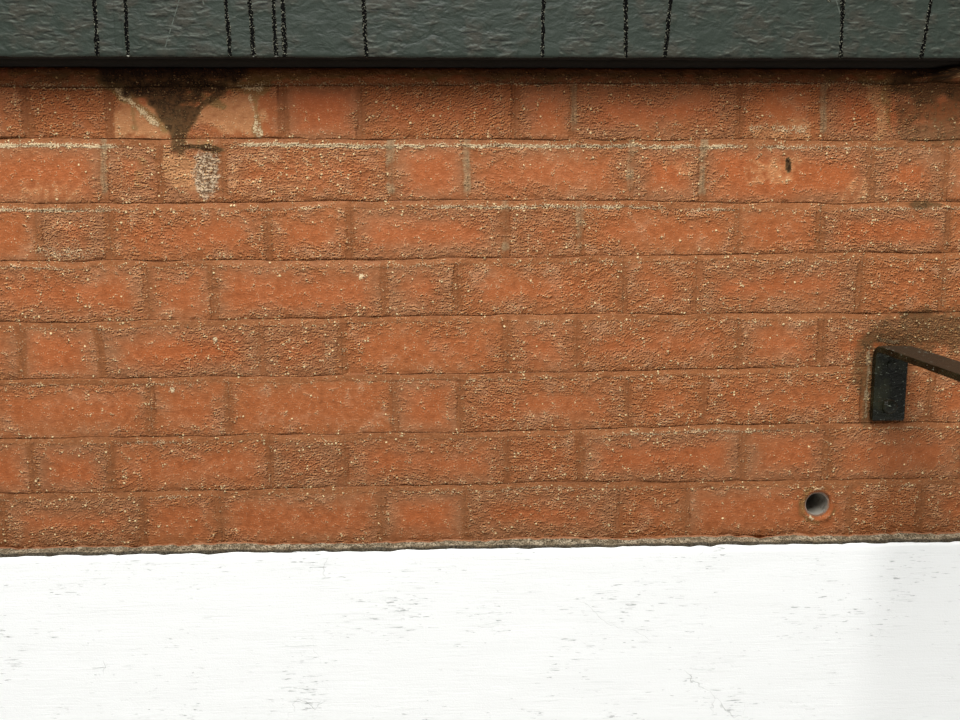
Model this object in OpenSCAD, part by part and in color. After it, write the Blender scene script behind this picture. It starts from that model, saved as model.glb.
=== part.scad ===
// Brick garden wall in Flemish bond, one brick thick, on a rendered plinth, under a stone coping.
// Millimetres. X runs along the wall, the front face looks towards -Y, and Z is up.
// The origin is on the ground at the middle of the wall's base.

/* [Brickwork] */
// Length of a brick, which is also the thickness of the wall
brick_l = 215; // [190:1:250]
// Width of a brick, which shows as a header
brick_w = 102.5; // [90:0.5:120]
// Height of a brick
brick_h = 72.5; // [50:0.5:90]
// Thickness of every mortar joint in the brickwork
joint_t = 10; // [6:0.5:14]
// Depth to which a bed joint is struck back under the brick above
joint_strike = 4; // [1:0.5:8]
// Pairs of one stretcher and one header along the wall
bond_pairs = 9; // [3:1:16]
// Courses of bare brickwork above the plinth
brick_courses = 8; // [2:1:14]

/* [Plinth] */
// Courses of brickwork behind the render
plinth_courses = 9; // [2:1:16]
// Thickness of the render coat
render_t = 25; // [12:1:40]
// Lap of the render over the lowest bed joint, above the masonry behind it
render_lap = 10; // [0:0.5:30]
// Height of the cement fillet against the brickwork
fillet_h = 8; // [7:1:40]
// Height of the fillet's nose at its outer edge
fillet_nose_h = 2.5; // [1:0.5:6]
// Distance of the fillet's nose behind the render's face
fillet_back = 2; // [0:0.5:8]

/* [Coping] */
// Number of coping stones
coping_stones = 3; // [1:1:8]
// Height of a coping stone at its faces
coping_h = 95; // [50:1:160]
// Rise of the weathered top from the faces to the ridge
coping_rise = 22; // [5:1:60]
// Overhang of the coping past the brickwork, at the sides and the ends
coping_overhang = 40; // [25:1:90]
// Radius of the worn upper arris
arris_r = 12; // [4:1:30]
// Radius of the worn lower arris
lower_arris_r = 4; // [1:0.5:8]
// Radius of the drip throat under each overhang
throat_r = 6; // [3:0.5:10]
// Distance from the coping's face to the middle of the throat
throat_inset = 17; // [12:1:18]
// Thickness of the mortar bed under the coping
coping_bed_t = 22; // [10:1:40]
// Setting back of the coping bed from the face of the brickwork
coping_bed_back = 2; // [0:0.5:10]
// Width of the mortar joint between two coping stones
coping_joint_t = 9; // [4:1:20]
// Depth of that joint behind the faces of the stones
coping_joint_back = 3; // [1:0.5:8]

/* [Stay] */
// Width of the flat bar
stay_w = 48; // [30:1:70]
// Thickness of the flat bar
stay_t = 10; // [6:0.5:14]
// Distance of the stay from the middle of the wall
stay_x = 498; // [-900:1:900]
// Height of the foot's lower end above the plinth
stay_foot_z = 187.5; // [60:0.5:400]
// Height of the foot, up to the top of the bend
stay_foot_h = 110; // [70:1:200]
// Inner radius of the bend above the foot
stay_bend_r = 6; // [3:1:20]
// Fall of the arm below level, in degrees
stay_fall = 6; // [0:0.5:20]
// Reach of the arm from the face of the wall
stay_reach = 750; // [200:10:1200]
// Diameter of the bolt hole in the arm's eye
stay_hole_d = 13; // [8:0.5:18]

/* [Weep pipe] */
// Outer diameter of the pipe
pipe_od = 40; // [25:1:60]
// Wall thickness of the pipe
pipe_wall = 3.5; // [2:0.5:5]
// Distance of the pipe from the middle of the wall
pipe_x = 405; // [-1200:1:1200]
// Setting back of each end of the pipe from the face of the brickwork
pipe_back = 3; // [0:0.5:10]
// Gap between the pipe and the hole that it is set in
pipe_gap = 0.3; // [0.1:0.1:1]
// Cover of brick left above the pipe's hole
pipe_cover = 1.2; // [0.5:0.1:8]

/* [Hidden] */
// Steps in each rounded edge of an outline
ARC_STEPS = 6;
// Radius of the stay's round end, as a share of half the bar's width
EYE_FULLNESS = 1.08;
// How far a cutting shape runs past what it cuts
CUT = 1;

wall_t = brick_l;
wall_l = bond_pairs * (brick_l + brick_w + 2 * joint_t) + brick_l;
gauge = brick_h + joint_t;
plinth_h = plinth_courses * gauge;
brick_top = plinth_h + brick_courses * gauge;

render_h = plinth_h + render_lap;
fillet_w = render_t - fillet_back;

coping_w = wall_t + 2 * coping_overhang;
coping_l = wall_l + 2 * coping_overhang;
coping_z = brick_top + coping_bed_t;
stone_l = (coping_l - (coping_stones - 1) * coping_joint_t) / coping_stones;
stone_pitch = stone_l + coping_joint_t;

// The bend's centre lies in front of the foot, and the arm's top turns outwards over it
stay_top = plinth_h + stay_foot_z + stay_foot_h;
bend_out_r = stay_bend_r + stay_t;
bend_y = -wall_t / 2 - stay_t - stay_bend_r;
bend_z = stay_top - bend_out_r;
foot_below_bend = stay_foot_h - bend_out_r;
arm_l = (stay_reach - stay_t - stay_bend_r - bend_out_r * sin(stay_fall)) / cos(stay_fall);
eye_r = EYE_FULLNESS * stay_w / 2;
eye_out = arm_l - eye_r;

pipe_z = plinth_h + gauge - pipe_cover - pipe_gap - pipe_od / 2;

// Points of an arc from angle a to angle b
function arc(centre, r, a, b) = [
    for (i = [0:ARC_STEPS])
        let (t = a + (b - a) * i / ARC_STEPS)
            centre + r * [cos(t), sin(t)]
];

// Turns an outline drawn in Y and Z into a bar along X, centred on x = 0
module along_x(length) {
    rotate([90, 0, 90])
        translate([0, 0, -length / 2])
            linear_extrude(length)
                children();
}

// Turns an outline drawn in X and Z into a bar along Y, centred on y = 0
module along_y(length) {
    rotate([90, 0, 0])
        translate([0, 0, -length / 2])
            linear_extrude(length)
                children();
}

// Plan of a coat laid round the wall, on one face of it, with mitred corners.
// face_l is the length of that face, off its distance from the wall's middle, t the coat's thickness.
module mitred_plan(face_l, off, t) {
    polygon([
        [-face_l / 2, -off],
        [-face_l / 2 - t, -off - t],
        [face_l / 2 + t, -off - t],
        [face_l / 2, -off]
    ]);
}

module plinth_masonry() {
    color("indianred")
        translate([-wall_l / 2, -wall_t / 2, 0])
            cube([wall_l, wall_t, plinth_h]);
}

module render_coat(face_l, off) {
    color("whitesmoke")
        linear_extrude(render_h)
            mitred_plan(face_l, off, render_t);
}

// Section of the fillet in front of the face y = 0: a nose on the render, sloping up to the brickwork
module fillet_section() {
    polygon([[0, 0], [-fillet_w, 0], [-fillet_w, fillet_nose_h], [0, fillet_h]]);
}

module fillet(face_l, off) {
    color("darkseagreen")
        translate([0, 0, render_h])
            intersection() {
                linear_extrude(fillet_h)
                    mitred_plan(face_l, off, fillet_w);
                translate([0, -off, 0])
                    along_x(face_l + 2 * fillet_w)
                        fillet_section();
            }
}

// Outline of a struck bed joint: flush with the brick below, set back under the brick above
module struck_section(length) {
    polygon([
        [-length / 2, 0],
        [length / 2, 0],
        [length / 2 - joint_strike, joint_t],
        [-length / 2 + joint_strike, joint_t]
    ]);
}

module bed_joint(i) {
    color("sandybrown")
        translate([0, 0, plinth_h + (i - 1) * gauge])
            intersection() {
                along_x(wall_l)
                    struck_section(wall_t);
                along_y(wall_t)
                    struck_section(wall_l);
            }
}

module brick_course(i) {
    color("chocolate")
        translate([0, 0, plinth_h + (i - 1) * gauge + joint_t])
            difference() {
                translate([-wall_l / 2, -wall_t / 2, 0])
                    cube([wall_l, wall_t, brick_h]);
                if (i == 1)
                    translate([0, 0, -plinth_h - joint_t])
                        pipe_hole();
            }
}

// Hole through the lowest course for the weep pipe
module pipe_hole() {
    translate([pipe_x, wall_t / 2 + CUT, pipe_z])
        rotate([90, 0, 0])
            cylinder(h = wall_t + 2 * CUT, d = pipe_od + 2 * pipe_gap, $fn = 64);
}

module coping_bed() {
    color("tan")
        translate([-wall_l / 2 + coping_bed_back, -wall_t / 2 + coping_bed_back, brick_top])
            cube([wall_l - 2 * coping_bed_back, wall_t - 2 * coping_bed_back, coping_bed_t]);
}

// Upper half of the coping's section: two faces, two worn arrises and a ridge, from left to right.
// back sets it in from the stone's own surface all round.
function coping_crown(back) =
    let (
        half = coping_w / 2 - back,
        eaves = coping_h - back,
        slope = atan(coping_rise / (coping_w / 2)),
        side = half - arris_r,
        shoulder = eaves + arris_r * (tan(slope) - 1 / cos(slope))
    )
    concat(
        arc([-side, shoulder], arris_r, 180, 90 + slope),
        [[0, eaves + half * tan(slope)]],
        arc([side, shoulder], arris_r, 90 - slope, 0)
    );

// Section of a coping stone, with worn lower arrises and a drip throat under each overhang
module coping_section() {
    throat_y = coping_w / 2 - throat_inset;
    foot_y = coping_w / 2 - lower_arris_r;
    polygon(concat(
        arc([-foot_y, lower_arris_r], lower_arris_r, 270, 180),
        coping_crown(0),
        arc([foot_y, lower_arris_r], lower_arris_r, 0, -90),
        arc([throat_y, 0], throat_r, 0, 180),
        arc([-throat_y, 0], throat_r, 0, 180)
    ));
}

// Section of the mortar between two stones: it stands on the bed, and the throats pass under it
module coping_joint_section() {
    side = coping_w / 2 - coping_joint_back;
    foot = wall_t / 2 - coping_bed_back;
    polygon(concat(
        [[-foot, 0], [-foot, throat_r], [-side, throat_r]],
        coping_crown(coping_joint_back),
        [[side, throat_r], [foot, throat_r], [foot, 0]]
    ));
}

module coping_stone(i) {
    color("darkslategray")
        translate([(i - (coping_stones + 1) / 2) * stone_pitch, 0, coping_z])
            along_x(stone_l)
                coping_section();
}

module coping_joint(i) {
    color("dimgray")
        translate([(i - coping_stones / 2) * stone_pitch, 0, coping_z])
            along_x(coping_joint_t)
                coping_joint_section();
}

// Side view of the stay, drawn in Y and Z about the bend's centre; the arm is square-ended here
module stay_section() {
    lean = 90 + stay_fall;
    along = [-cos(stay_fall), -sin(stay_fall)];
    up = [-sin(stay_fall), cos(stay_fall)];
    polygon(concat(
        [[bend_out_r, -foot_below_bend]],
        arc([0, 0], bend_out_r, 0, lean),
        [bend_out_r * up + (arm_l + CUT) * along, stay_bend_r * up + (arm_l + CUT) * along],
        arc([0, 0], stay_bend_r, lean, 0),
        [[stay_bend_r, -foot_below_bend]]
    ));
}

// Places its children over the middle of the eye, square to the arm, with z = 0 at its underside
module on_eye() {
    translate([stay_x, bend_y, bend_z])
        rotate([stay_fall, 0, 0])
            translate([0, -eye_out, stay_bend_r])
                children();
}

// What is cut off the arm's square end to round it
module eye_waste() {
    difference() {
        translate([-stay_w / 2 - CUT, -stay_w, -CUT])
            cube([stay_w + 2 * CUT, stay_w, stay_t + 2 * CUT]);
        translate([0, 0, -2 * CUT])
            cylinder(h = stay_t + 4 * CUT, r = eye_r, $fn = 96);
    }
}

module wall_stay() {
    color("darkgreen")
        difference() {
            translate([stay_x, bend_y, bend_z])
                along_x(stay_w)
                    stay_section();
            on_eye()
                eye_waste();
            on_eye()
                translate([0, 0, -CUT])
                    cylinder(h = stay_t + 2 * CUT, d = stay_hole_d, $fn = 48);
        }
}

module weep_pipe() {
    pipe_l = wall_t - 2 * pipe_back;
    color("lightgray")
        translate([pipe_x, pipe_l / 2, pipe_z])
            rotate([90, 0, 0])
                difference() {
                    cylinder(h = pipe_l, d = pipe_od, $fn = 64);
                    translate([0, 0, -CUT])
                        cylinder(h = pipe_l + 2 * CUT, d = pipe_od - 2 * pipe_wall, $fn = 64);
                }
}

plinth_masonry();
render_coat(wall_l, wall_t / 2);  // render_front
rotate(180) render_coat(wall_l, wall_t / 2);  // render_back
rotate(-90) render_coat(wall_t, wall_l / 2);  // render_left_end
rotate(90) render_coat(wall_t, wall_l / 2);  // render_right_end
fillet(wall_l, wall_t / 2);  // fillet_front
rotate(180) fillet(wall_l, wall_t / 2);  // fillet_back
rotate(-90) fillet(wall_t, wall_l / 2);  // fillet_left_end
rotate(90) fillet(wall_t, wall_l / 2);  // fillet_right_end
for (i = [1:brick_courses]) bed_joint(i);
for (i = [1:brick_courses]) brick_course(i);
coping_bed();
for (i = [1:coping_stones]) coping_stone(i);
for (i = [1:1:coping_stones - 1]) coping_joint(i);
wall_stay();
weep_pipe();
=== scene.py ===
"""The looks of a painted brick garden wall: bricks and joints, coping, rendered plinth, stay and pipe.

Metres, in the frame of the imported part: X runs along the wall, the front looks towards -Y, Z is up.
"""
import logging
import math
from collections.abc import Callable
from dataclasses import dataclass, field
from enum import Enum

import bpy
import numpy as np
from mathutils import Matrix, Vector


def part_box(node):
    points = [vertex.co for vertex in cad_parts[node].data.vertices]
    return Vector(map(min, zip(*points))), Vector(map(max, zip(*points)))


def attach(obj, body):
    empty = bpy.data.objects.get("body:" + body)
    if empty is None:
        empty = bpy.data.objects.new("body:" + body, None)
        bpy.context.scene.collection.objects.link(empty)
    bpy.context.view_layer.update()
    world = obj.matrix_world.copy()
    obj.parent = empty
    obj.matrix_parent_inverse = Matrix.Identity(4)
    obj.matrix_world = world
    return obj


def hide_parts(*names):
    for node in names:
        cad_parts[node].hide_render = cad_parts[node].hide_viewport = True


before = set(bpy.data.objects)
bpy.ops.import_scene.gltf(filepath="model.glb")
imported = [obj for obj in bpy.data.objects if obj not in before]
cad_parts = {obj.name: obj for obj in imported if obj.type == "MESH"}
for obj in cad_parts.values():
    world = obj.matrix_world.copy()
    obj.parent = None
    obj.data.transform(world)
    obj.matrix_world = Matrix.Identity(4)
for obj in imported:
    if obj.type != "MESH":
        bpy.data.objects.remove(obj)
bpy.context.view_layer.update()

log = logging.getLogger("garden_wall")

MM = 0.001
Array = np.ndarray
Colour = tuple[int, int, int]
Values = dict[str, Array | float]


class Slot(Enum):
    """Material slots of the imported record."""

    BRICK = "painted_brick"
    MORTAR = "painted_mortar"
    RENDER = "white_render"
    FILLET = "cement_fillet"
    STONE = "painted_stone"
    STONE_JOINT = "coping_mortar"
    IRON = "black_iron"


class Side(Enum):
    """The wall's four faces, in the order in which they follow each other round it."""

    LEFT = 0
    FRONT = 1
    RIGHT = 2
    BACK = 3


def linear(colour: Colour) -> tuple[float, float, float, float]:
    """Linear light of a colour of 0 to 255: ((c + 0.055) / 1.055) to the power 2.4, or c / 12.92."""
    parts = [c / 255 for c in colour]
    return (*[p / 12.92 if p < 0.04045 else ((p + 0.055) / 1.055) ** 2.4 for p in parts], 1.0)


def smooth(low: float | Array, high: float | Array, value: Array) -> Array:
    """Blend from 0 at low to 1 at high, which may lie below low, by 3t squared minus 2t cubed."""
    t = np.clip((value - low) / (high - low), 0.0, 1.0)
    return t * t * (3 - 2 * t)


def lattice(i: Array, j: Array, k: Array, seed: int) -> Array:
    """Give every whole-number lattice point a random value, by hashing its three numbers.

    Args:
        i, j, k: Lattice numbers.
        seed: Number that tells one field from another.

    Returns:
        Values from 0 to 1.
    """
    with np.errstate(over="ignore"):
        mixed = (
            i.astype(np.uint32) * np.uint32(374761393)
            + j.astype(np.uint32) * np.uint32(668265263)
            + k.astype(np.uint32) * np.uint32(2246822519)
            + np.uint32(seed) * np.uint32(3266489917)
        )
        mixed = (mixed ^ (mixed >> np.uint32(13))) * np.uint32(1274126177)
        mixed = mixed ^ (mixed >> np.uint32(16))
    return mixed / 2.0**32


def noise(x: Array, y: Array, z: Array, size: float, seed: int) -> Array:
    """Smooth noise from -1 to 1.

    Formula: random values at the corners of cubes of the given size, blended along each axis
    with 3t squared minus 2t cubed.

    Args:
        x, y, z: Coordinates, in metres.
        size: Side of the cubes, about half a wavelength.
        seed: Number that tells one field from another.

    Returns:
        The noise at each point.
    """
    spots = [np.asarray(c, float) / size + 4096 for c in np.broadcast_arrays(x, y, z)]
    cells = [np.floor(s).astype(np.int64) for s in spots]
    parts = [(s - c) * (s - c) * (3 - 2 * (s - c)) for s, c in zip(spots, cells)]
    total = np.zeros(spots[0].shape)
    for corner in range(8):
        bits = [(corner >> n) & 1 for n in range(3)]
        weight = np.ones(spots[0].shape)
        for bit, part in zip(bits, parts):
            weight = weight * (part if bit else 1 - part)
        total += weight * lattice(cells[0] + bits[0], cells[1] + bits[1], cells[2] + bits[2], seed)
    return 2 * total - 1


def fractal(x: Array, y: Array, z: Array, size: float, seed: int, octaves: int = 3) -> Array:
    """Noise with finer noise on it: each octave has half the size and half the strength."""
    total = sum(noise(x, y, z, size / 2**n, seed + n) / 2**n for n in range(octaves))
    return total / (2 - 2.0 ** (1 - octaves))


def paced(start: float, stop: float, pitch: Callable[[Array], Array]) -> Array:
    """Stations from start to stop, both included, whose spacing follows a pitch.

    Formula: equal steps of the running sum of 1 / pitch.

    Args:
        start: First station.
        stop: Last station.
        pitch: Wanted spacing at each place.

    Returns:
        The stations.
    """
    fine = np.linspace(start, stop, 6000)
    density = 1 / pitch(fine)
    steps = (density[1:] + density[:-1]) / 2 * np.diff(fine)
    total = np.concatenate([[0.0], np.cumsum(steps)])
    count = max(2, int(round(total[-1])) + 1)
    return np.interp(np.linspace(0, total[-1], count), total, fine)


def stretch(near: float, far: float, middle: float, half: float, fade: float) -> Callable[[Array], Array]:
    """Spacing along X that is near within half of a middle, and grows to far over the fade."""
    return lambda x: near + (far - near) * smooth(0.0, fade, np.abs(x - middle) - half)


def put(name: str, data: bpy.types.ID) -> bpy.types.Object:
    """Make an object and link it to the scene.

    Args:
        name: Name of the object.
        data: Its mesh, camera or light.

    Returns:
        The object.
    """
    made = bpy.data.objects.new(name, data)
    bpy.context.scene.collection.objects.link(made)
    return made


class Shell:
    """A surface put together from grids of points and flat caps, with values on its points."""

    def __init__(self) -> None:
        """Start with no points."""
        self.points: list[Array] = []
        self.count = 0
        self.faces: list[Array] = []
        self.flat: list[bool] = []
        self.values: dict[str, list[tuple[int, Array]]] = {}

    def grid(
        self, points: Array, values: Values | None = None, close_rows: bool = False,
        close_columns: bool = False,
    ) -> Array:
        """Add a grid; its faces look along (next column) x (next row).

        Args:
            points: Places, rows by columns by 3.
            values: Named values, rows by columns.
            close_rows: Join the last row to the first.
            close_columns: Join the last column to the first.

        Returns:
            Point numbers, rows by columns.
        """
        rows, columns = points.shape[:2]
        index = self.count + np.arange(rows * columns).reshape(rows, columns)
        self.points.append(points.reshape(-1, 3))
        for name, value in (values or {}).items():
            spread = np.broadcast_to(value, (rows, columns)).reshape(-1)
            self.values.setdefault(name, []).append((self.count, spread))
        self.count += rows * columns
        loop = np.vstack([index, index[:1]]) if close_rows else index
        if close_columns:
            loop = np.hstack([loop, loop[:, :1]])
        quads = np.stack([loop[:-1, :-1], loop[:-1, 1:], loop[1:, 1:], loop[1:, :-1]], axis=-1)
        self.faces.append(quads.reshape(-1, 4))
        self.flat.append(False)
        return index

    def cap(self, ring: Array) -> None:
        """Close a ring of points with one flat face, whose points run anticlockwise from outside."""
        self.faces.append(np.asarray(ring).reshape(1, -1))
        self.flat.append(True)

    def tube(self, points: Array, values: Values | None = None) -> None:
        """Add a grid whose columns close into a ring, with a cap at either end.

        Args:
            points: Places, rows by columns by 3.
            values: Named values, rows by columns.
        """
        index = self.grid(points, values, close_columns=True)
        self.cap(index[-1])
        self.cap(index[0, ::-1])

    def piece(
        self, name: str, slot: Slot, material: bpy.types.Material, *nodes: str,
        maps: dict[str, tuple[str, str]] | None = None,
    ) -> None:
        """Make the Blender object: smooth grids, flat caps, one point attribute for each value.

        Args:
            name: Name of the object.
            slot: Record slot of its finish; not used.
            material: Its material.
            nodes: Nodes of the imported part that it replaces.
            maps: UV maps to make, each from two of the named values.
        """
        mesh = bpy.data.meshes.new(name)
        points = np.concatenate(self.points)
        corners = np.concatenate([f.reshape(-1) for f in self.faces])
        sizes = np.concatenate([np.full(len(f), f.shape[1]) for f in self.faces])
        flat = np.concatenate([np.full(len(f), state) for f, state in zip(self.faces, self.flat)])
        mesh.vertices.add(len(points))
        mesh.vertices.foreach_set("co", points.astype(np.float32).reshape(-1))
        mesh.loops.add(len(corners))
        mesh.loops.foreach_set("vertex_index", corners.astype(np.int32))
        mesh.polygons.add(len(sizes))
        starts = np.concatenate([[0], np.cumsum(sizes)[:-1]])
        mesh.polygons.foreach_set("loop_start", starts.astype(np.int32))
        mesh.update(calc_edges=True)
        mesh.polygons.foreach_set("use_smooth", ~flat)
        dense: Values = {}
        for key, blocks in self.values.items():
            dense[key] = np.zeros(len(points), np.float32)
            for start, block in blocks:
                dense[key][start : start + len(block)] = block
        for key, (across, up) in (maps or {}).items():
            pairs = np.stack([dense.pop(across), dense.pop(up)], axis=-1)
            mesh.uv_layers.new(name=key).data.foreach_set("uv", pairs[corners].reshape(-1))
        for key, data in dense.items():
            mesh.attributes.new(key, "FLOAT", "POINT").data.foreach_set("value", data)
        mesh.update()
        mesh.materials.append(material)
        piece = put(name, mesh)
        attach(piece, "root")
        if nodes:
            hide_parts(*nodes)
        log.info("%s: %d faces", name, len(mesh.polygons))


class Graph:
    """A material's nodes round one Principled shader, with the colour that is laid on so far.

    A value, wherever one is asked for, is a socket, a number, a colour or the name of a value
    that the mesh carries on its points.
    """

    def __init__(self, name: str, colour: Colour) -> None:
        """Start a material that holds only its shader and output.

        Args:
            name: Name of the material.
            colour: Its ground colour.
        """
        self.material = bpy.data.materials.new(name)
        self.material.use_nodes = True
        self.tree = self.material.node_tree
        self.tree.nodes.clear()
        self.shader = self.node("BsdfPrincipled", {})
        self.node("OutputMaterial", {0: self.shader.outputs[0]})
        self.place = self.node("TexCoord", {}).outputs["Object"]
        self.height = self.node("SeparateXYZ", {0: self.place}).outputs["Z"]
        self.plane: object = None
        self.colour: object = linear(colour)

    def node(self, kind: str, inputs: dict[int | str, object], **settings: object) -> bpy.types.Node:
        """Add a node.

        Args:
            kind: Its type, without the leading ShaderNode.
            inputs: Values by the input's number or name.
            settings: The node's properties.

        Returns:
            The node.
        """
        node = self.tree.nodes.new("ShaderNode" + kind)
        for key, setting in settings.items():
            setattr(node, key, setting)
        self.fill(node, inputs)
        return node

    def fill(self, node: bpy.types.Node, inputs: dict[int | str, object]) -> None:
        """Link or set a node's inputs.

        Args:
            node: The node.
            inputs: Values by the input's number or name.
        """
        for key, value in inputs.items():
            if isinstance(value, str):
                value = self.node("Attribute", {}, attribute_name=value).outputs["Fac"]
            if isinstance(value, bpy.types.NodeSocket):
                self.tree.links.new(value, node.inputs[key])
            else:
                node.inputs[key].default_value = value

    def math(self, operation: str, a: object, b: object = 0.0) -> object:
        """One Math node's result."""
        return self.node("Math", {0: a, 1: b}, operation=operation).outputs[0]

    def times(self, a: object, b: object) -> object:
        """Product of two values."""
        return self.math("MULTIPLY", a, b)

    def sum(self, *terms: tuple[object, float]) -> object:
        """Add up values, each times its weight.

        Args:
            terms: Pairs of a value and its weight.

        Returns:
            The sum's socket.
        """
        total: object = 0.0
        for value, weight in terms:
            total = self.node("Math", {0: value, 1: weight, 2: total}, operation="MULTIPLY_ADD").outputs[0]
        return total

    def vector(self, operation: str, a: object, b: object = (0.0, 0.0, 0.0)) -> object:
        """One Vector Math node's result."""
        node = self.node("VectorMath", {0: a, 1: b}, operation=operation)
        return node.outputs["Value" if operation == "LENGTH" else "Vector"]

    def squeezed(self, vector: object, x: float, y: float, z: float) -> object:
        """Divide a vector by a length along each axis, for a pattern of such lengths."""
        return self.vector("MULTIPLY", vector, (1 / x, 1 / y, 1 / z))

    def noise(
        self, size: float, detail: float = 2.0, rough: float = 0.5, vector: object = None, warp: float = 0.0
    ) -> object:
        """Noise from 0 to 1 with features of a given size.

        Args:
            size: Size of the features, in the vector's own unit.
            detail: Number of finer octaves.
            rough: Strength of the finer octaves.
            vector: Coordinates, or none for the material's own.
            warp: Distortion of the pattern.

        Returns:
            The noise's socket.
        """
        inputs = {"Vector": vector or self.plane or self.place, "Scale": 1 / size, "Detail": detail,
                  "Roughness": rough, "Distortion": warp}
        return self.node("TexNoise", inputs, noise_dimensions="2D" if self.plane else "3D").outputs[0]

    def glints(
        self, size: float, share: object, radius: float, drop: float, vector: object
    ) -> tuple[object, object]:
        """Painted glints on scattered round grains of uneven size, and the painted shade spots beneath them.

        Args:
            size: Mean distance between the grains' places.
            share: Share of the places that hold a grain.
            radius: Mean radius of a grain.
            drop: How far below a grain its shaded spot lies.
            vector: Coordinates.

        Returns:
            A socket that is 1 on the grains, and one that is 1 on the shaded spots.
        """
        cells = self.node("TexVoronoi", {"Vector": vector, "Scale": 1 / size}, voronoi_dimensions="2D")
        chance = self.node("SeparateColor", {0: cells.outputs["Color"]})
        held = self.math("LESS_THAN", chance.outputs[0], share)
        uneven = self.math("POWER", chance.outputs[1], 2.0)
        reach = self.sum((uneven, 1.5 * radius), (1.0, 0.7 * radius))
        away = self.vector("SUBTRACT", vector, cells.outputs["Position"])
        spots = []
        for offset, outer, inner in ((0.0, 1.0, 0.35), (drop, 1.5, 0.6)):
            shifted = self.vector("ADD", away, (0.0, offset, 0.0))
            near = self.math("DIVIDE", self.vector("LENGTH", shifted), reach)
            spots.append(self.times(self.step(near, outer, inner), held))
        return spots[0], spots[1]

    def step(self, value: object, low: float, high: float, start: float = 0.0, stop: float = 1.0) -> object:
        """Blend from start, where the value is low, to stop, where it is high, smoothly and clamped."""
        inputs = {"Value": value, "From Min": low, "From Max": high, "To Min": start, "To Max": stop}
        return self.node("MapRange", inputs, interpolation_type="SMOOTHSTEP").outputs[0]

    def blend(self, share: object, a: object, b: object, mode: str = "MIX") -> object:
        """Mix a share of the second colour, from 0 to 1, into the first."""
        return self.node("Mix", {0: share, 6: a, 7: b}, data_type="RGBA", blend_type=mode).outputs[2]

    def lay(self, tint: object, share: object, mode: str = "MIX") -> None:
        """Lay a share of a colour, which is given from 0 to 255 or as a socket, over what is there."""
        tint = linear(tint) if isinstance(tint, tuple) else tint
        self.colour = self.blend(share, self.colour, tint, mode)

    def coat(
        self, tint: Colour, share: float, low: float, high: float, *terms: tuple[object, float]
    ) -> object:
        """Lay a colour on where a weighted sum of values passes from low to high.

        Args:
            tint: The colour from 0 to 255.
            share: Its share from high on.
            low: Sum at which it starts.
            high: Sum at which it is full.
            terms: Pairs of a value and its weight.

        Returns:
            The socket of its share at each place.
        """
        held = self.step(self.sum(*terms), low, high, 0.0, share)
        self.lay(tint, held)
        return held

    def finish(self, roughness: object, relief: object, depth: float, gloss: float) -> bpy.types.Material:
        """Fill the shader.

        Args:
            roughness: Roughness, as a socket where it varies.
            relief: Height of the relief, from 0 to 1.
            depth: What a height of 1 stands for, in metres.
            gloss: Specular level.

        Returns:
            The finished material.
        """
        bump = self.node("Bump", {"Strength": 1.0, "Distance": depth, "Height": relief})
        self.fill(self.shader, {
            "Base Color": self.colour, "Roughness": roughness, "Specular IOR Level": gloss,
            "Normal": bump.outputs[0],
        })
        return self.material


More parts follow.
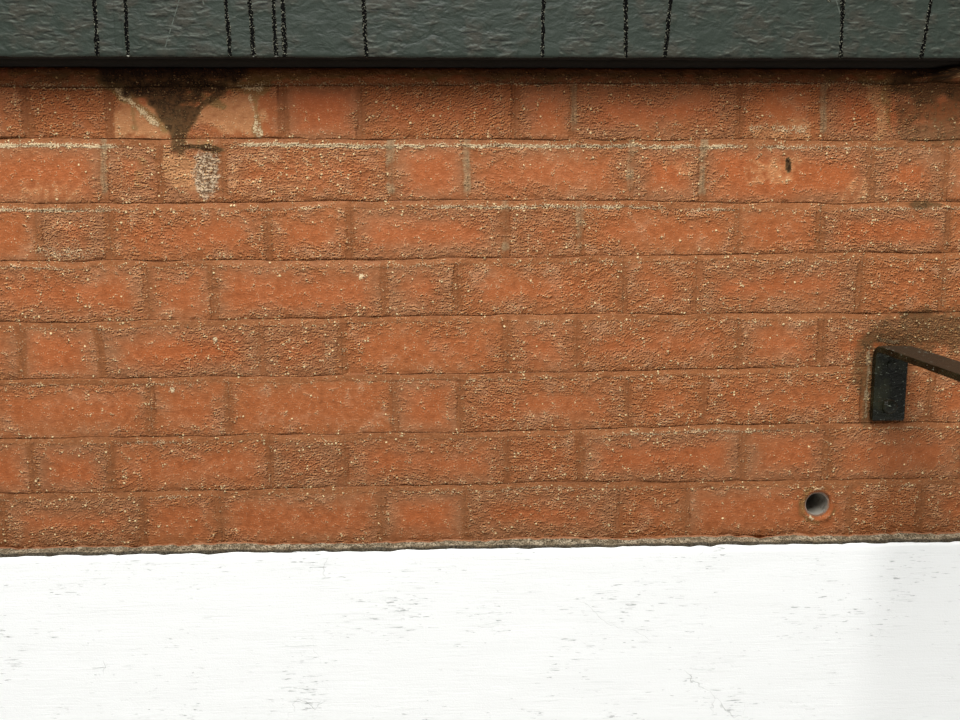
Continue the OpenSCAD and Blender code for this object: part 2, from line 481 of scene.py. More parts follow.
@dataclass(frozen=True)
class TerracottaPaint:
    """Terracotta masonry paint brushed over brick and mortar alike, worn, sooty and limy in places."""

    centre: Colour = (174, 94, 49)
    film: Colour = (167, 101, 59)
    dull: Colour = (157, 107, 72)
    haze: Colour = (184, 134, 98)
    tan: Colour = (194, 140, 94)
    # Painted shade beneath the grains, and painted highlight on their upper sides
    grain_shade: Colour = (74, 36, 12)
    grain_highlight: Colour = (228, 166, 104)
    # Painted glints on the grains
    glint_highlight: Colour = (255, 226, 170)
    band: Colour = (158, 100, 60)
    upright: Colour = (140, 86, 49)
    # Dark lines: painted shade in the creases and under the joints' lips, and the upright joints' cracks
    seam: Colour = (100, 52, 20)
    lime: Colour = (230, 207, 165)
    damp: Colour = (128, 106, 60)
    mortar: Colour = (160, 134, 100)
    spall_pale: Colour = (206, 182, 150)
    spall_dark: Colour = (110, 86, 62)
    olive: Colour = (88, 68, 42)
    soot: Colour = (28, 19, 8)
    crumb: Colour = (140, 116, 76)
    shadow: Colour = (158, 110, 50)
    # Share of the lime's colour where it is full, and its height in the relief
    lime_cover: float = 0.92
    lime_height: float = 0.3
    brush_long: float = 8.5 * MM
    brush_short: float = 2.3 * MM
    grit: float = 2.2 * MM
    spacing: float = 4.6 * MM
    grain: float = 1.0 * MM
    drop: float = 1.5 * MM

    def material(self) -> bpy.types.Material:
        """Build the paint: smooth orange in the middle of a brick, a dull rough film over the rest.

        The film is scored and gritty in clusters. Each grain gets a painted highlight on its upper
        side and painted shade below it: the noise at a place less the noise a little above it.

        Returns:
            The material.
        """
        g = Graph("terracotta_paint", self.film)
        g.plane = g.node("UVMap", {}, uv_map="plane").outputs[0]
        patch = g.noise(34 * MM, 2.0, 0.55)
        blotch = g.noise(11 * MM, 2.0, 0.6)
        above = g.vector("ADD", g.plane, (-0.4 * self.drop, 0.8 * self.drop, 0.0))
        grain, grain_above = (g.noise(self.grit, 1.5, 0.6, place) for place in (g.plane, above))
        brush = g.node("UVMap", {}, uv_map="brush").outputs[0]
        brush = g.squeezed(brush, self.brush_long, self.brush_short, 1)
        over = g.vector("ADD", brush, (0.0, self.drop / self.brush_short, 0.0))
        score, score_above = (g.noise(1.0, 1.5, 0.55, place) for place in (brush, over))
        lit = g.sum((grain, 1.7), (grain_above, -1.7), (score, 1.15), (score_above, -1.15))
        rough = g.step(g.sum(("rough", 1.0), (blotch, 2.2), (patch, 0.9)), 1.55, 2.75)
        gritty = g.sum((rough, 0.9), ("lip", 0.25), (1.0, 0.12))
        crowd = g.step(g.sum((blotch, 1.0), (rough, 0.22), ("lip", 0.2), ("joint", 0.12)), 0.68, 0.92)
        stirred = g.node("CombineXYZ", {0: g.times(grain, 3.2 * MM), 1: g.times(grain_above, 2.4 * MM)})
        place = g.vector("ADD", g.plane, stirred.outputs[0])
        strewn = g.sum((crowd, 0.55), (1.0, 0.01))
        # bead marks the painted glints, and pit the painted shade beneath them
        bead, pit = g.glints(self.spacing, strewn, self.grain, self.drop, place)

        g.coat(self.dull, 1.0, 0.55, 1.1, ("tone", 0.45), (patch, 1.0), (blotch, 0.3))
        g.coat(self.haze, 0.55, 0.78, 1.0, (patch, 1.0), (blotch, 0.5), ("tone", -0.1))
        g.lay(self.centre, g.times("core", g.sum(("tone", 0.45), (1.0, 0.45))))
        g.coat(self.band, 0.8, 0.5, 1.2, ("joint", 1.0), (blotch, 0.6))
        g.coat(self.upright, 0.85, 0.8, 1.75, ("upright", 1.0), (blotch, 0.9), (patch, 0.7))
        g.coat(self.tan, 0.75, 0.9, 1.6, ("thin", 1.0), (blotch, 1.0), (patch, 0.5))
        g.coat(self.damp, 0.8, 0.7, 1.4, ("damp", 1.0), (blotch, 0.7), (grain, 0.4))
        limy = g.coat(self.lime, self.lime_cover, 1.6, 2.15, ("lime", 1.0), (blotch, 0.8), (grain, 1.9))
        # A broken dark line along each brick's upper edge: painted shade under the joint's proud lip
        g.coat(self.seam, 0.6, 1.9, 2.3, ("lip", 1.0), (blotch, 1.4), (grain, 0.9))

        g.coat(self.upright, 0.32, 9.5, 4.5, ("fall", 1.0), (blotch, 5.0), (grain, 2.0))
        aside = g.math("ABSOLUTE", g.sum(("aside", 1.0), (blotch, 8.0), (1.0, -4.0)))
        crack = g.times(g.step(g.sum((aside, 1.0), (grain, 3.0)), 3.8, 1.4, 0.0, 0.68), "opened")
        # The dark line along the crease under each brick is painted shade; round the pipe it marks a crack
        seam = g.step(g.sum(("fall", 1.0), (grain, 2.4), (blotch, 3.0)), 4.6, 2.2)
        seam = g.times(seam, g.step(g.sum((patch, 1.0), (blotch, 0.4)), 0.5, 0.9, 0.08, 0.8))
        crack = g.math("MAXIMUM", crack, seam)
        g.lay(self.seam, crack)
        g.coat(self.mortar, 0.8, 0.6, 1.3, ("bare", 1.0), (blotch, 0.8))
        spall = g.step(g.sum(("spall", 1.0), (blotch, 1.0)), 0.8, 1.3, 0.0, 0.9)
        chunk = g.noise(5.5 * MM, 2.0, 0.7)
        g.lay(g.blend(g.step(chunk, 0.38, 0.6), linear(self.spall_dark), linear(self.spall_pale)), spall)

        veil = g.step(g.sum(("soot", 1.0), (blotch, 0.4), (grain, 0.2)), 0.36, 1.05, 0.0, 0.9)
        g.lay(self.olive, g.times(veil, g.step("soot", 0.02, 0.14)))
        g.coat(self.soot, 0.9, 1.65, 2.25, ("soot", 1.0), (blotch, 1.0), (grain, 0.5), (chunk, 0.7))
        crumbs = g.step(g.sum((chunk, 1.0), (grain, 0.5)), 0.88, 1.02, 0.0, 0.6)
        g.lay(self.crumb, g.times(crumbs, g.step("soot", 0.1, 0.5)))

        gritty = g.times(gritty, g.step("soot", 0.3, 1.0, 1.0, 0.6))
        # Painted highlight on the grains' upper sides, and painted shade beneath them
        g.lay(self.grain_highlight, g.times(g.step(lit, 0.32, 0.52, 0.0, 0.55), gritty))
        g.lay(self.grain_shade, g.times(g.step(lit, -0.14, -0.32), gritty))
        deeper = g.step(g.height, 0.78, 1.15, -0.1, 0.0)
        g.lay(g.sum((blotch, 0.7), (patch, 0.35), (deeper, 1.0), (1.0, 0.475)), 1.0, "MULTIPLY")
        # Painted shade beneath each glint, then the painted glint itself
        g.lay(self.grain_shade, g.times(pit, 0.7))
        bead = g.times(bead, g.step("soot", 0.1, 0.8, 0.9, 0.4))
        g.lay(self.glint_highlight, bead)

        # Painted shade under the coping's overhang, with some dirt: down the top course, darkest on the
        # mortar bed
        dirt_and_shade = g.sum((g.height, 1.0), (blotch, 0.02), (patch, 0.05), (1.0, -0.035))
        g.lay(self.shadow, g.step(dirt_and_shade, 1.310, 1.405, 0.0, 0.58), "MULTIPLY")
        bed_shade = g.times(g.step(g.height, 1.402, 1.424, 0.0, 0.95), g.step(spall, 0.0, 0.5, 1.0, 0.0))
        g.lay(self.shadow, bed_shade, "MULTIPLY")

        worn = g.step(rough, 0.0, 1.0, 0.25, 1.0)
        relief = g.times(g.sum((score, 0.7), (grain, 0.7), (bead, 0.4)), worn)
        limy_height = self.lime_height / self.lime_cover
        relief = g.sum((relief, 1.0), (blotch, 0.7), (crack, -0.3), (limy, limy_height), (spall, 0.2))
        dull = g.math("MAXIMUM", g.step(rough, 0.0, 1.0, 0.55, 0.72), g.step("soot", 0.1, 0.6, 0.0, 0.9))
        return g.finish(dull, relief, 1.8 * MM, 0.13)


@dataclass(frozen=True)
class CopingPaint:
    """Dark grey-green paint dragged over stone with a wide brush."""

    green: Colour = (49, 57, 49)
    brown: Colour = (58, 57, 48)
    # Painted shade and painted highlight along the drag marks
    dark: Colour = (30, 33, 28)
    drag_highlight: Colour = (98, 104, 94)
    # The black underside: dark paint, and painted shade
    underside: Colour = (24, 18, 11)

    def material(self) -> bpy.types.Material:
        """Build the paint: drag marks along the wall with painted shade and painted highlight, brown
        mottling, and a black underside that is partly painted shade.

        Returns:
            The material.
        """
        g = Graph("coping_paint", self.green)
        along = g.squeezed(g.place, 0.021, 0.021, 0.0065)
        above = g.vector("ADD", along, (0.0, 0.0, 0.3))
        drag, drag_above = (g.noise(1.0, 2.0, 0.55, place, warp=0.6) for place in (along, above))
        lit = g.sum((drag, 1.0), (drag_above, -1.0))
        lump = g.noise(14 * MM, 2.0, 0.55, g.vector("MULTIPLY", g.place, (0.6, 0.6, 1.0)), warp=0.5)
        patch = g.noise(45 * MM, 3.0, 0.6)
        grain = g.noise(2.0 * MM, 2.0)
        g.coat(self.brown, 1.0, 0.68, 0.95, (patch, 1.0), (lump, 0.5))
        marked = g.step(g.sum((patch, 1.4), (lump, 0.4)), 0.74, 1.06, 0.1, 1.0)
        # Painted shade below each drag, and painted highlight above it
        g.lay(self.dark, g.times(g.step(lit, -0.05, -0.18, 0.0, 0.95), marked))
        g.lay(self.drag_highlight, g.times(g.step(lit, 0.05, 0.18, 0.0, 0.62), marked))
        g.lay(g.sum((grain, 0.5), (lump, 0.4), (1.0, 0.55)), 1.0, "MULTIPLY")
        # Black laid on the underside and the face's foot: dark paint and painted shade
        grime_and_shade = g.coat(self.underside, 1.0, 0.8, 1.3, ("grime_and_shade", 1.0), (lump, 0.3), (grain, 0.9))
        relief = g.sum((g.times(drag, marked), 0.55), (lump, 1.2), (grain, 0.15))
        return g.finish(g.math("MAXIMUM", g.step(lump, 0.3, 0.7, 0.5, 0.66), grime_and_shade), relief, 2.2 * MM, 0.22)


@dataclass(frozen=True)
class WhiteRender:
    """White masonry paint on trowelled render, with faint drag lines and hairline cracks."""

    white: Colour = (252, 253, 251)
    grey: Colour = (214, 217, 213)
    crack: Colour = (150, 152, 146)
    scratch: Colour = (120, 124, 120)
    splash: Colour = (176, 170, 156)
    # Hairline cracks: size of the cells that they run round, and how they wander
    cell: float = 0.24
    wander: float = 0.07
    wander_size: float = 1 / 22

    def material(self) -> bpy.types.Material:
        """Build the paint: thin grey lines along the wall, cracks, a splashed foot.

        Returns:
            The material.
        """
        g = Graph("white_render", self.white)
        drag = g.noise(1.0, 3.0, 0.6, g.squeezed(g.place, 0.06, 0.06, 0.0035), warp=1.0)
        patch = g.noise(0.12, 3.0)
        grain = g.noise(2.2 * MM, 2.0, 0.6)
        g.lay(self.grey, g.times(g.step(drag, 0.6, 0.7, 0.0, 0.5), g.step(patch, 0.4, 0.62)))
        scored = g.noise(1.0, 2.0, 0.6, g.squeezed(g.place, 0.02, 0.02, 0.0019), warp=0.5)
        scored = g.coat(self.scratch, 0.55, 0.93, 1.0, (scored, 1.0), (patch, 0.5))
        swirl = g.node("TexNoise", {"Vector": g.place, "Scale": 1 / self.wander_size, "Detail": 3.0})
        bend = {0: swirl.outputs["Color"], 1: (self.wander,) * 3, 2: g.place}
        bent = g.node("VectorMath", bend, operation="MULTIPLY_ADD").outputs[0]
        split = g.node("TexVoronoi", {"Vector": bent, "Scale": 1 / self.cell}, feature="DISTANCE_TO_EDGE")
        crack = g.times(g.step(split.outputs["Distance"], 0.004, 0.001), g.step(patch, 0.54, 0.66))
        g.lay(self.crack, g.times(crack, 0.4))
        g.coat(self.splash, 0.42, 0.06, -0.06, (g.height, 1.0), (patch, -0.16), (grain, -0.03))
        relief = g.sum((drag, 0.55), (grain, 0.35), (patch, 0.8), (crack, -0.6), (scored, -0.4))
        return g.finish(0.62, relief, 0.9 * MM, 0.4)


@dataclass(frozen=True)
class BareCement:
    """Bare gritty cement of the fillet, with paint slopped over its edges."""

    pale: Colour = (196, 182, 154)
    mid: Colour = (116, 102, 78)
    dark: Colour = (40, 34, 24)
    slop: Colour = (165, 108, 70)

    def material(self) -> bpy.types.Material:
        """Build the cement: coarse grit in three tones, terracotta slopped along the brickwork.

        Returns:
            The material.
        """
        g = Graph("bare_cement", self.mid)
        grit = g.noise(2.4 * MM, 3.0, 0.7)
        clump = g.noise(11 * MM, 3.0, 0.6)
        g.coat(self.pale, 1.0, 0.5, 0.68, (grit, 0.6), (clump, 0.5))
        g.lay(self.dark, g.step(grit, 0.5, 0.38))
        g.coat(self.dark, 0.8, 1.15, 1.4, ("nose", 1.0), (clump, 0.5), (grit, 0.3))
        g.coat(self.slop, 0.85, 0.85, 1.1, ("slop", 1.0), (clump, 0.7))
        return g.finish(0.85, g.sum((grit, 1.0), (clump, 0.8)), 2.2 * MM, 0.3)


@dataclass(frozen=True)
class IronPaint:
    """Black-green gloss paint on old iron, brushed thick, with dust and a painted reflection on what looks
    up, and painted glints.
    """

    black: Colour = (19, 19, 9)
    green: Colour = (38, 39, 24)
    dust_and_reflection: Colour = (58, 44, 30)
    rust: Colour = (66, 40, 22)
    glint: Colour = (168, 176, 158)

    def material(self) -> bpy.types.Material:
        """Build the paint: lumpy gloss, upper faces laid brown for dust and a painted reflection, painted
        glints, a little rust showing through.

        Returns:
            The material.
        """
        g = Graph("iron_paint", self.black)
        lump = g.noise(5 * MM, 3.0, 0.6, warp=0.5)
        patch = g.noise(28 * MM, 3.0)
        grain = g.noise(1.6 * MM, 2.0)
        g.lay(self.green, g.step(patch, 0.42, 0.66))
        # Upper faces are laid brown: dust, and a painted reflection of the wall
        up = g.node("SeparateXYZ", {0: g.node("NewGeometry", {}).outputs["Normal"]}).outputs["Z"]
        dusty_and_reflecting = g.step(g.sum((up, 0.9), (lump, 0.35), (grain, 0.25)), 0.72, 1.2)
        g.lay(self.dust_and_reflection, g.times(dusty_and_reflecting, 0.8))
        rusty = g.coat(self.rust, 0.7, 0.66, 0.74, (patch, 0.6), (grain, 0.5))
        # Pale streaks: painted glints on the lumpy gloss
        ripple = g.noise(1.0, 2.0, 0.6, g.squeezed(g.place, 0.006, 0.006, 0.0022), warp=0.6)
        g.lay(self.glint, g.step(ripple, 0.66, 0.74, 0.0, 0.6))
        shine = g.math("MAXIMUM", g.step(dusty_and_reflecting, 0.0, 1.0, 0.2, 0.6), g.step(rusty, 0.0, 0.7, 0.0, 0.7))
        return g.finish(shine, g.sum((lump, 1.0), (ripple, 0.5), (grain, 0.2)), 1.6 * MM, 0.22)


@dataclass(frozen=True)
class DripPitch:
    """Black runs of thinned paint down the coping's face."""

    black: Colour = (3, 3, 2)
    fleck: Colour = (138, 138, 120)
    bead: Colour = (186, 186, 172)
    scratch: Colour = (88, 94, 86)

    def material(self) -> bpy.types.Material:
        """Build the runs: black, half glossy, flecked with pale dust.

        Returns:
            The material.
        """
        g = Graph("drip_pitch", self.black)
        fleck = g.noise(1.9 * MM, 2.0, 0.6)
        g.coat(self.fleck, 0.8, 0.62, 0.72, (fleck, 1.0), ("rim", 0.12))
        g.coat(self.bead, 1.0, 1.15, 1.3, ("tip", 1.0), (fleck, 0.6))
        g.lay(self.scratch, "pale")
        return g.finish(0.7, fleck, 0.8 * MM, 0.05)


@dataclass(frozen=True)
class PipePlastic:
    """Grey drain pipe, dirty inside."""

    grey: Colour = (156, 150, 138)
    dirt_and_shade: Colour = (64, 52, 40)
    slop: Colour = (128, 84, 50)

    def material(self) -> bpy.types.Material:
        """Build the plastic: pale grey under dirt that thickens in blotches.

        Returns:
            The material.
        """
        g = Graph("pipe_plastic", self.grey)
        stain = g.noise(9 * MM, 3.0, 0.6)
        grain = g.noise(1.4 * MM, 2.0)
        dirty = g.step(g.sum((stain, 0.8), (grain, 0.3)), 0.5, 0.78)
        g.lay(self.dirt_and_shade, g.times(dirty, 0.75))
        inward = g.node("SeparateXYZ", {0: g.place}).outputs["Y"]
        g.coat(self.slop, 0.85, -0.1010, -0.1035, (inward, 1.0), (stain, 0.004))
        return g.finish(g.step(dirty, 0.0, 1.0, 0.45, 0.8), grain, 0.4 * MM, 0.4)


@dataclass(frozen=True)
class HiddenBrick:
    """Plain brickwork inside the plinth, seen only from underneath."""

    brick: Colour = (150, 82, 58)
    mortar: Colour = (158, 150, 134)
    stretcher: float = 225 * MM
    header: float = 112.5 * MM
    line: float = 10 * MM

    def material(self) -> bpy.types.Material:
        """Build the brickwork's pattern in plan.

        Returns:
            The material.
        """
        g = Graph("hidden_brick", self.brick)
        inputs = {
            "Vector": g.place, "Scale": 1.0, "Mortar": linear(self.mortar), "Mortar Size": self.line / 2,
            "Color1": linear(self.brick), "Color2": linear(self.brick),
            "Brick Width": self.stretcher, "Row Height": self.header,
        }
        g.colour = g.node("TexBrick", inputs).outputs[0]
        grain = g.noise(4 * MM, 3.0, 0.6)
        g.lay(self.mortar, g.step(grain, 0.3, 0.7, 0.0, 0.5))
        return g.finish(0.9, grain, 1 * MM, 0.3)


@dataclass(frozen=True)
class Finishes:
    """Every material of the wall, built once."""

    paint: bpy.types.Material = field(default_factory=lambda: TerracottaPaint().material())
    coping: bpy.types.Material = field(default_factory=lambda: CopingPaint().material())
    render: bpy.types.Material = field(default_factory=lambda: WhiteRender().material())
    cement: bpy.types.Material = field(default_factory=lambda: BareCement().material())
    iron: bpy.types.Material = field(default_factory=lambda: IronPaint().material())
    pitch: bpy.types.Material = field(default_factory=lambda: DripPitch().material())
    pipe: bpy.types.Material = field(default_factory=lambda: PipePlastic().material())
    core: bpy.types.Material = field(default_factory=lambda: HiddenBrick().material())


@dataclass
class Bond:
    """Where each brick lies: the regular bond, and how far the bricklayer strayed from it."""

    header_w: float = 102.5 * MM
    # Shift of each upright joint from its regular place, in millimetres, from the first to the
    # right of survey_left on. The key is the course, counted from the plinth.
    survey_left: float = -750 * MM
    strays: dict[int, tuple[int, ...]] = field(default_factory=lambda: {
        8: (29, 27, 36, 29, 14, -18, -12, -7),
        7: (-42, 5, 11, 3, 5, -5, 8, 0),
        6: (31, 16, 8, 9, 0, -8, -9, -4, -45),
        5: (7, -15, -2, -11, -3, -9, 2, 9),
        4: (-4, -7, -9, -7, 2, -10, -3, 6),
        3: (2, 0, 8, -9, 8, 6, 17, 1),
        2: (0, -3, -1, -7, 2, -4, 8, 23),
        1: (-17, -20, -12, -3, -1, -16, 4),
    })
    # A short brick was let in here: one more upright joint, by course and place
    extra_course: int = 7
    extra_x: float = -529 * MM
    # Rise of each bed line above its regular height, in millimetres, at the four stations.
    # Line 1 is the underside of course 1, and line 9 the top of course 8.
    bed_stations: tuple[float, ...] = (-670 * MM, -335 * MM, 0.0, 335 * MM)
    bed_rises: dict[int, tuple[int, ...]] = field(default_factory=lambda: {
        9: (-6, -3, -1, 1),
        8: (1, 0, -1, -3),
        7: (-3, -2, 0, -6),
        6: (1, 1, 3, 7),
        5: (0, 2, 5, 4),
        4: (2, 3, 5, 9),
        3: (0, 1, 3, 9),
        2: (2, 4, 8, 6),
        1: (3, 2, 4, 5),
    })

    def __post_init__(self) -> None:
        """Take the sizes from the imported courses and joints."""
        low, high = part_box("brick_course_1")
        joint_low, joint_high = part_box("bed_joint_1")
        self.length = high.x - low.x
        self.depth = high.y - low.y
        self.brick_h = high.z - low.z
        self.joint_t = joint_high.z - joint_low.z
        self.gauge = self.brick_h + self.joint_t
        self.module = self.depth + self.header_w + 2 * self.joint_t
        self.base = low.z
        self.foot = joint_low.z
        self.courses = sum(name.startswith("brick_course_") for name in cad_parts)

    def regular(self, course: int) -> Array:
        """Regular places of the upright joints of a course, from left to right.

        Formula: a header's two joints lie (header + joint) / 2 either side of its middle. Middles
        repeat every module, from 0 in even courses and from half a module in odd ones. An odd
        course ends in a closer and a corner header.

        Args:
            course: Course, counted from the plinth.

        Returns:
            Places along X.
        """
        half = (self.header_w + self.joint_t) / 2
        start = 0.0 if course % 2 == 0 else self.module / 2
        middles = start + self.module * np.arange(-20, 20)
        places = np.sort(np.concatenate([middles - half, middles + half]))
        if course % 2 == 0:
            reach = self.length / 2 - self.depth - self.joint_t / 2
            return places[np.abs(places) < reach + 1 * MM]
        corner = self.length / 2 - self.header_w - self.joint_t / 2
        places = places[np.abs(places) < corner - self.header_w]
        closer = corner - half
        return np.concatenate([[-corner, -closer], places, [closer, corner]])

    def uprights(self, course: int, side: Side) -> Array:
        """Distances of the upright joints along a side, from its first corner.

        Args:
            course: Course, counted from the plinth.
            side: Side of the wall.

        Returns:
            Distances in order.
        """
        rng = np.random.default_rng(40 + course)
        if side in (Side.LEFT, Side.RIGHT):
            return np.array([self.depth / 2 + rng.normal(0, 3 * MM)]) if course % 2 == 0 else np.array([])
        places = self.regular(course)
        shifts = np.clip(rng.normal(0, 6 * MM, len(places)), -12 * MM, 12 * MM)
        first = int(np.searchsorted(places, self.survey_left))
        known = np.array(self.strays[course]) * MM
        shifts[first : first + len(known)] = known
        shifts[[0, -1]] *= 0.4
        places = places + shifts
        if course == self.extra_course:
            places = np.sort(np.append(places, self.extra_x))
        if side is Side.BACK:
            places = places + np.clip(rng.normal(0, 2 * MM, len(places)), -4 * MM, 4 * MM)
            return np.sort(self.length / 2 - places)
        return places + self.length / 2

    def line(self, number: int, x: Array) -> Array:
        """Height of a bed line along the wall, with its wander.

        Args:
            number: Line 1 is the underside of course 1, line 9 the top of course 8.
            x: Places along the wall.

        Returns:
            Heights.
        """
        regular = self.base + (number - 1) * self.gauge
        if number > self.courses:
            regular -= self.joint_t
        surveyed = np.interp(x, self.bed_stations, np.array(self.bed_rises[number]) * MM)
        away = smooth(0.15, 0.7, np.abs(x) - 0.65)
        broad = noise(x, 0.0, number, 0.45, 11) * 3.5 * MM * away
        fine = noise(x, 0.0, number, 60 * MM, 12) * 1.5 * MM + noise(x, 0.0, number, 20 * MM, 13) * 0.9 * MM
        return regular + surveyed * (1 - 0.6 * away) + broad + fine


class Wear(Enum):
    """Kinds of wear that lie on the brickwork in marks."""

    SOOT = "soot"
    LIME = "lime"
    THIN = "thin"
    DAMP = "damp"


@dataclass
class Weathering:
    """Stains, lime, bare mortar and damage on the two long faces, by their place; a few marks are painted
    shade, and one is a painted highlight.
    """

    # Marks of each kind, in millimetres: a stroke from x, z to x, z, its half width, its strength
    marks: dict[Wear, tuple[tuple[float, ...], ...]] = field(default_factory=lambda: {
        Wear.SOOT: (
            (-588, 1417, -428, 1416, 15, 1.0), (-556, 1399, -444, 1400, 14, 0.95),
            (-530, 1384, -474, 1384, 14, 0.9), (-518, 1368, -486, 1366, 13, 0.8),
            (-510, 1352, -496, 1346, 12, 0.75), (-503, 1338, -499, 1322, 12, 0.75),
            (-494, 1319, -440, 1316, 6, 1.0), (-440, 1393, -470, 1374, 6, 0.75),
            (-470, 1374, -488, 1350, 5, 0.7), (-600, 1412, -585, 1400, 8, 0.6),
            (508, 1418, 800, 1420, 9, 0.95), (500, 1396, 735, 1400, 20, 0.6),
            (498, 1366, 690, 1372, 20, 0.5), (502, 1338, 648, 1340, 18, 0.44),
            (516, 1238, 560, 1238, 4.5, 0.62), (339, 1301, 341, 1286, 2.2, 1.0),
            (500, 1054, 605, 1056, 34, 0.56), (470, 1048, 545, 1047, 11, 0.66),
            # The two marks at x 466 to 472 darken the wall down the stay foot's left edge: grime, and
            # painted shade beside it
            (466, 985, 466, 1040, 17, 0.52), (470, 928, 472, 985, 7, 0.48),
            # The long faint strips at z 1408 to 1412 darken the bed under the coping: stain, and painted
            # shade under its overhang
            (533, 935, 536, 1030, 7, 0.22), (-110, 1412, 420, 1412, 8, 0.3),
            (-700, 1408, -610, 1408, 8, 0.3),
        ),
        Wear.DAMP: (
            # The first damp mark, along the bed under the coping, is partly painted shade under its overhang
            (-720, 1419, 640, 1419, 7, 0.8), (-602, 1410, -566, 1384, 10, 0.9),
            (-566, 1384, -522, 1342, 8, 0.7), (-562, 1388, -560, 1345, 6, 0.6),
            (-436, 1402, -384, 1396, 9, 0.7), (-396, 1385, -393, 1336, 5, 0.6),
            (440, 1408, 476, 1404, 8, 0.7), (470, 1402, 482, 1340, 8, 0.6),
            (-476, 1392, -440, 1372, 7, 0.8), (-500, 1330, -450, 1318, 9, 0.5),
            (380, 792, 384, 816, 7, 0.6), (-560, 1262, -555, 1300, 6, 0.4), (620, 1300, 640, 1200, 12, 0.3),
        ),
        Wear.LIME: (
            (390, 788, 398, 783, 2.2, 0.8), (398, 827, 410, 828, 1.8, 0.6),
            (-602, 1412, -568, 1384, 3.5, 0.75), (-568, 1384, -528, 1345, 4.5, 0.8),
            (-421, 1421, -426, 1402, 4, 0.75), (-426, 1401, -388, 1396, 3, 0.7),
            (-403, 1384, -397, 1362, 2.6, 0.6), (-397, 1362, -392, 1336, 2.6, 0.65),
            (-528, 984, -528, 968, 2.4, 1.0), (-465, 1057, -464, 1053, 2.4, 0.9),
            (-260, 1144, -258, 1143, 2.6, 0.9), (395, 1420, 397, 1420, 3, 0.8),
            (288, 1344, 360, 1342, 5, 0.42), (452, 1411, 478, 1412, 5, 0.5), (484, 1046, 508, 1045, 4, 1.0),
            # The thin line at x 469 is a painted highlight along the lit edge of the stay's foot
            (469, 935, 470, 1036, 1.2, 0.75), (-700, 1178, -640, 1176, 9, 0.3),
        ),
        Wear.THIN: (
            (-568, 1356, -528, 1350, 25, 1.0), (-455, 1368, -408, 1364, 25, 0.85),
            (-505, 1284, -470, 1284, 24, 1.1), (458, 1390, 472, 1340, 15, 0.95),
            (292, 1338, 360, 1340, 16, 0.6), (296, 1282, 344, 1288, 16, 0.5),
            (-700, 1255, -655, 1255, 20, 0.35), (430, 1246, 470, 1250, 22, 0.4),
            (-420, 1280, -330, 1290, 24, 0.3), (170, 1296, 210, 1292, 14, 0.4),
        ),
    })
    # Lime along a bed joint: line above the joint, from, to, strength
    lime_runs: tuple[tuple[int, float, float, float], ...] = (
        (8, -0.80, -0.585, 0.95), (8, -0.42, -0.16, 1.0), (8, -0.16, 0.27, 0.85), (8, 0.30, 0.37, 0.7),
        (7, -0.80, -0.63, 0.75), (7, -0.42, -0.30, 0.35), (7, -0.16, 0.16, 0.65), (7, 0.20, 0.27, 0.5),
        (7, 0.42, 0.62, 0.45), (6, -0.80, -0.66, 0.35), (3, 0.10, 0.36, 0.5), (9, -0.70, -0.60, 0.6),
        (9, -0.10, 0.46, 0.45),
    )
    # Upright joints that lost their paint: course and place
    bare_uprights: tuple[tuple[int, float], ...] = (
        (8, 0.039), (8, 0.387), (7, -0.605), (7, -0.214), (7, -0.109), (7, 0.118), (7, 0.220),
        (6, -0.057), (6, 0.049),
    )
    # The stay's marks start right of this place and below this height, in millimetres
    stay_left: float = 420
    stay_above: float = 1100
    # The spalled header: middle x and z, half width, half height
    spall: tuple[float, float, float, float] = (-0.466, 1.283, 0.018, 0.029)

    @staticmethod
    def spot(x: Array, z: Array, patch: tuple[float, ...]) -> Array:
        """A soft oval round a patch's middle x and z: 1 inside, one half at its edge, 0 outside."""
        across = (np.abs((x - patch[0]) / patch[2]) ** 3 + np.abs((z - patch[1]) / patch[3]) ** 3) ** (1 / 3)
        return smooth(1.5, 0.5, across)

    def wear(self, kind: Wear, x: Array, z: Array, front: bool = True) -> Array:
        """How worn each place is by the marks of one kind.

        Formula: the distance to a mark's stroke, roughened by noise, fades from the mark's
        strength inside its half width to nothing; where marks overlap the stronger holds.

        Args:
            kind: Kind of wear.
            x, z: Places on the face.
            front: Whether it is the front, the only face with marks round the stay.

        Returns:
            Strength from 0 to 1.
        """
        x, z = np.broadcast_arrays(x, z)
        total = np.zeros(x.shape)
        ragged = fractal(x, 0.0, z, 22 * MM, 81, 4)
        for x0, z0, x1, z1, half, strength in self.marks[kind]:
            if not front and x0 > self.stay_left and z0 < self.stay_above:
                continue
            if z.min() / MM > max(z0, z1) + 2 * half or z.max() / MM < min(z0, z1) - 2 * half:
                continue
            run_x, run_z = x1 - x0, z1 - z0
            share = ((x / MM - x0) * run_x + (z / MM - z0) * run_z) / (run_x**2 + run_z**2)
            share = np.clip(share, 0, 1)
            away = np.hypot(x / MM - x0 - share * run_x, z / MM - z0 - share * run_z)
            away = away + (0.7 * half + 5) * ragged
            total = np.maximum(total, strength * smooth(1.45 * half, 0.55 * half, away))
        return total

    def lime(self, line: int, x: Array) -> Array:
        """Lime along the joint under a bed line.

        Args:
            line: Bed line at the joint's upper edge.
            x: Places along the wall.

        Returns:
            Strength from 0 to 1.
        """
        total = 0.1 + 0.3 * smooth(0.1, 0.8, noise(x, 0.0, line, 90 * MM, 71))
        for number, start, stop, strength in self.lime_runs:
            if number == line:
                run = smooth(start - 0.02, start + 0.02, x) * smooth(stop + 0.02, stop - 0.02, x)
                total = np.maximum(total, run * strength)
        return total


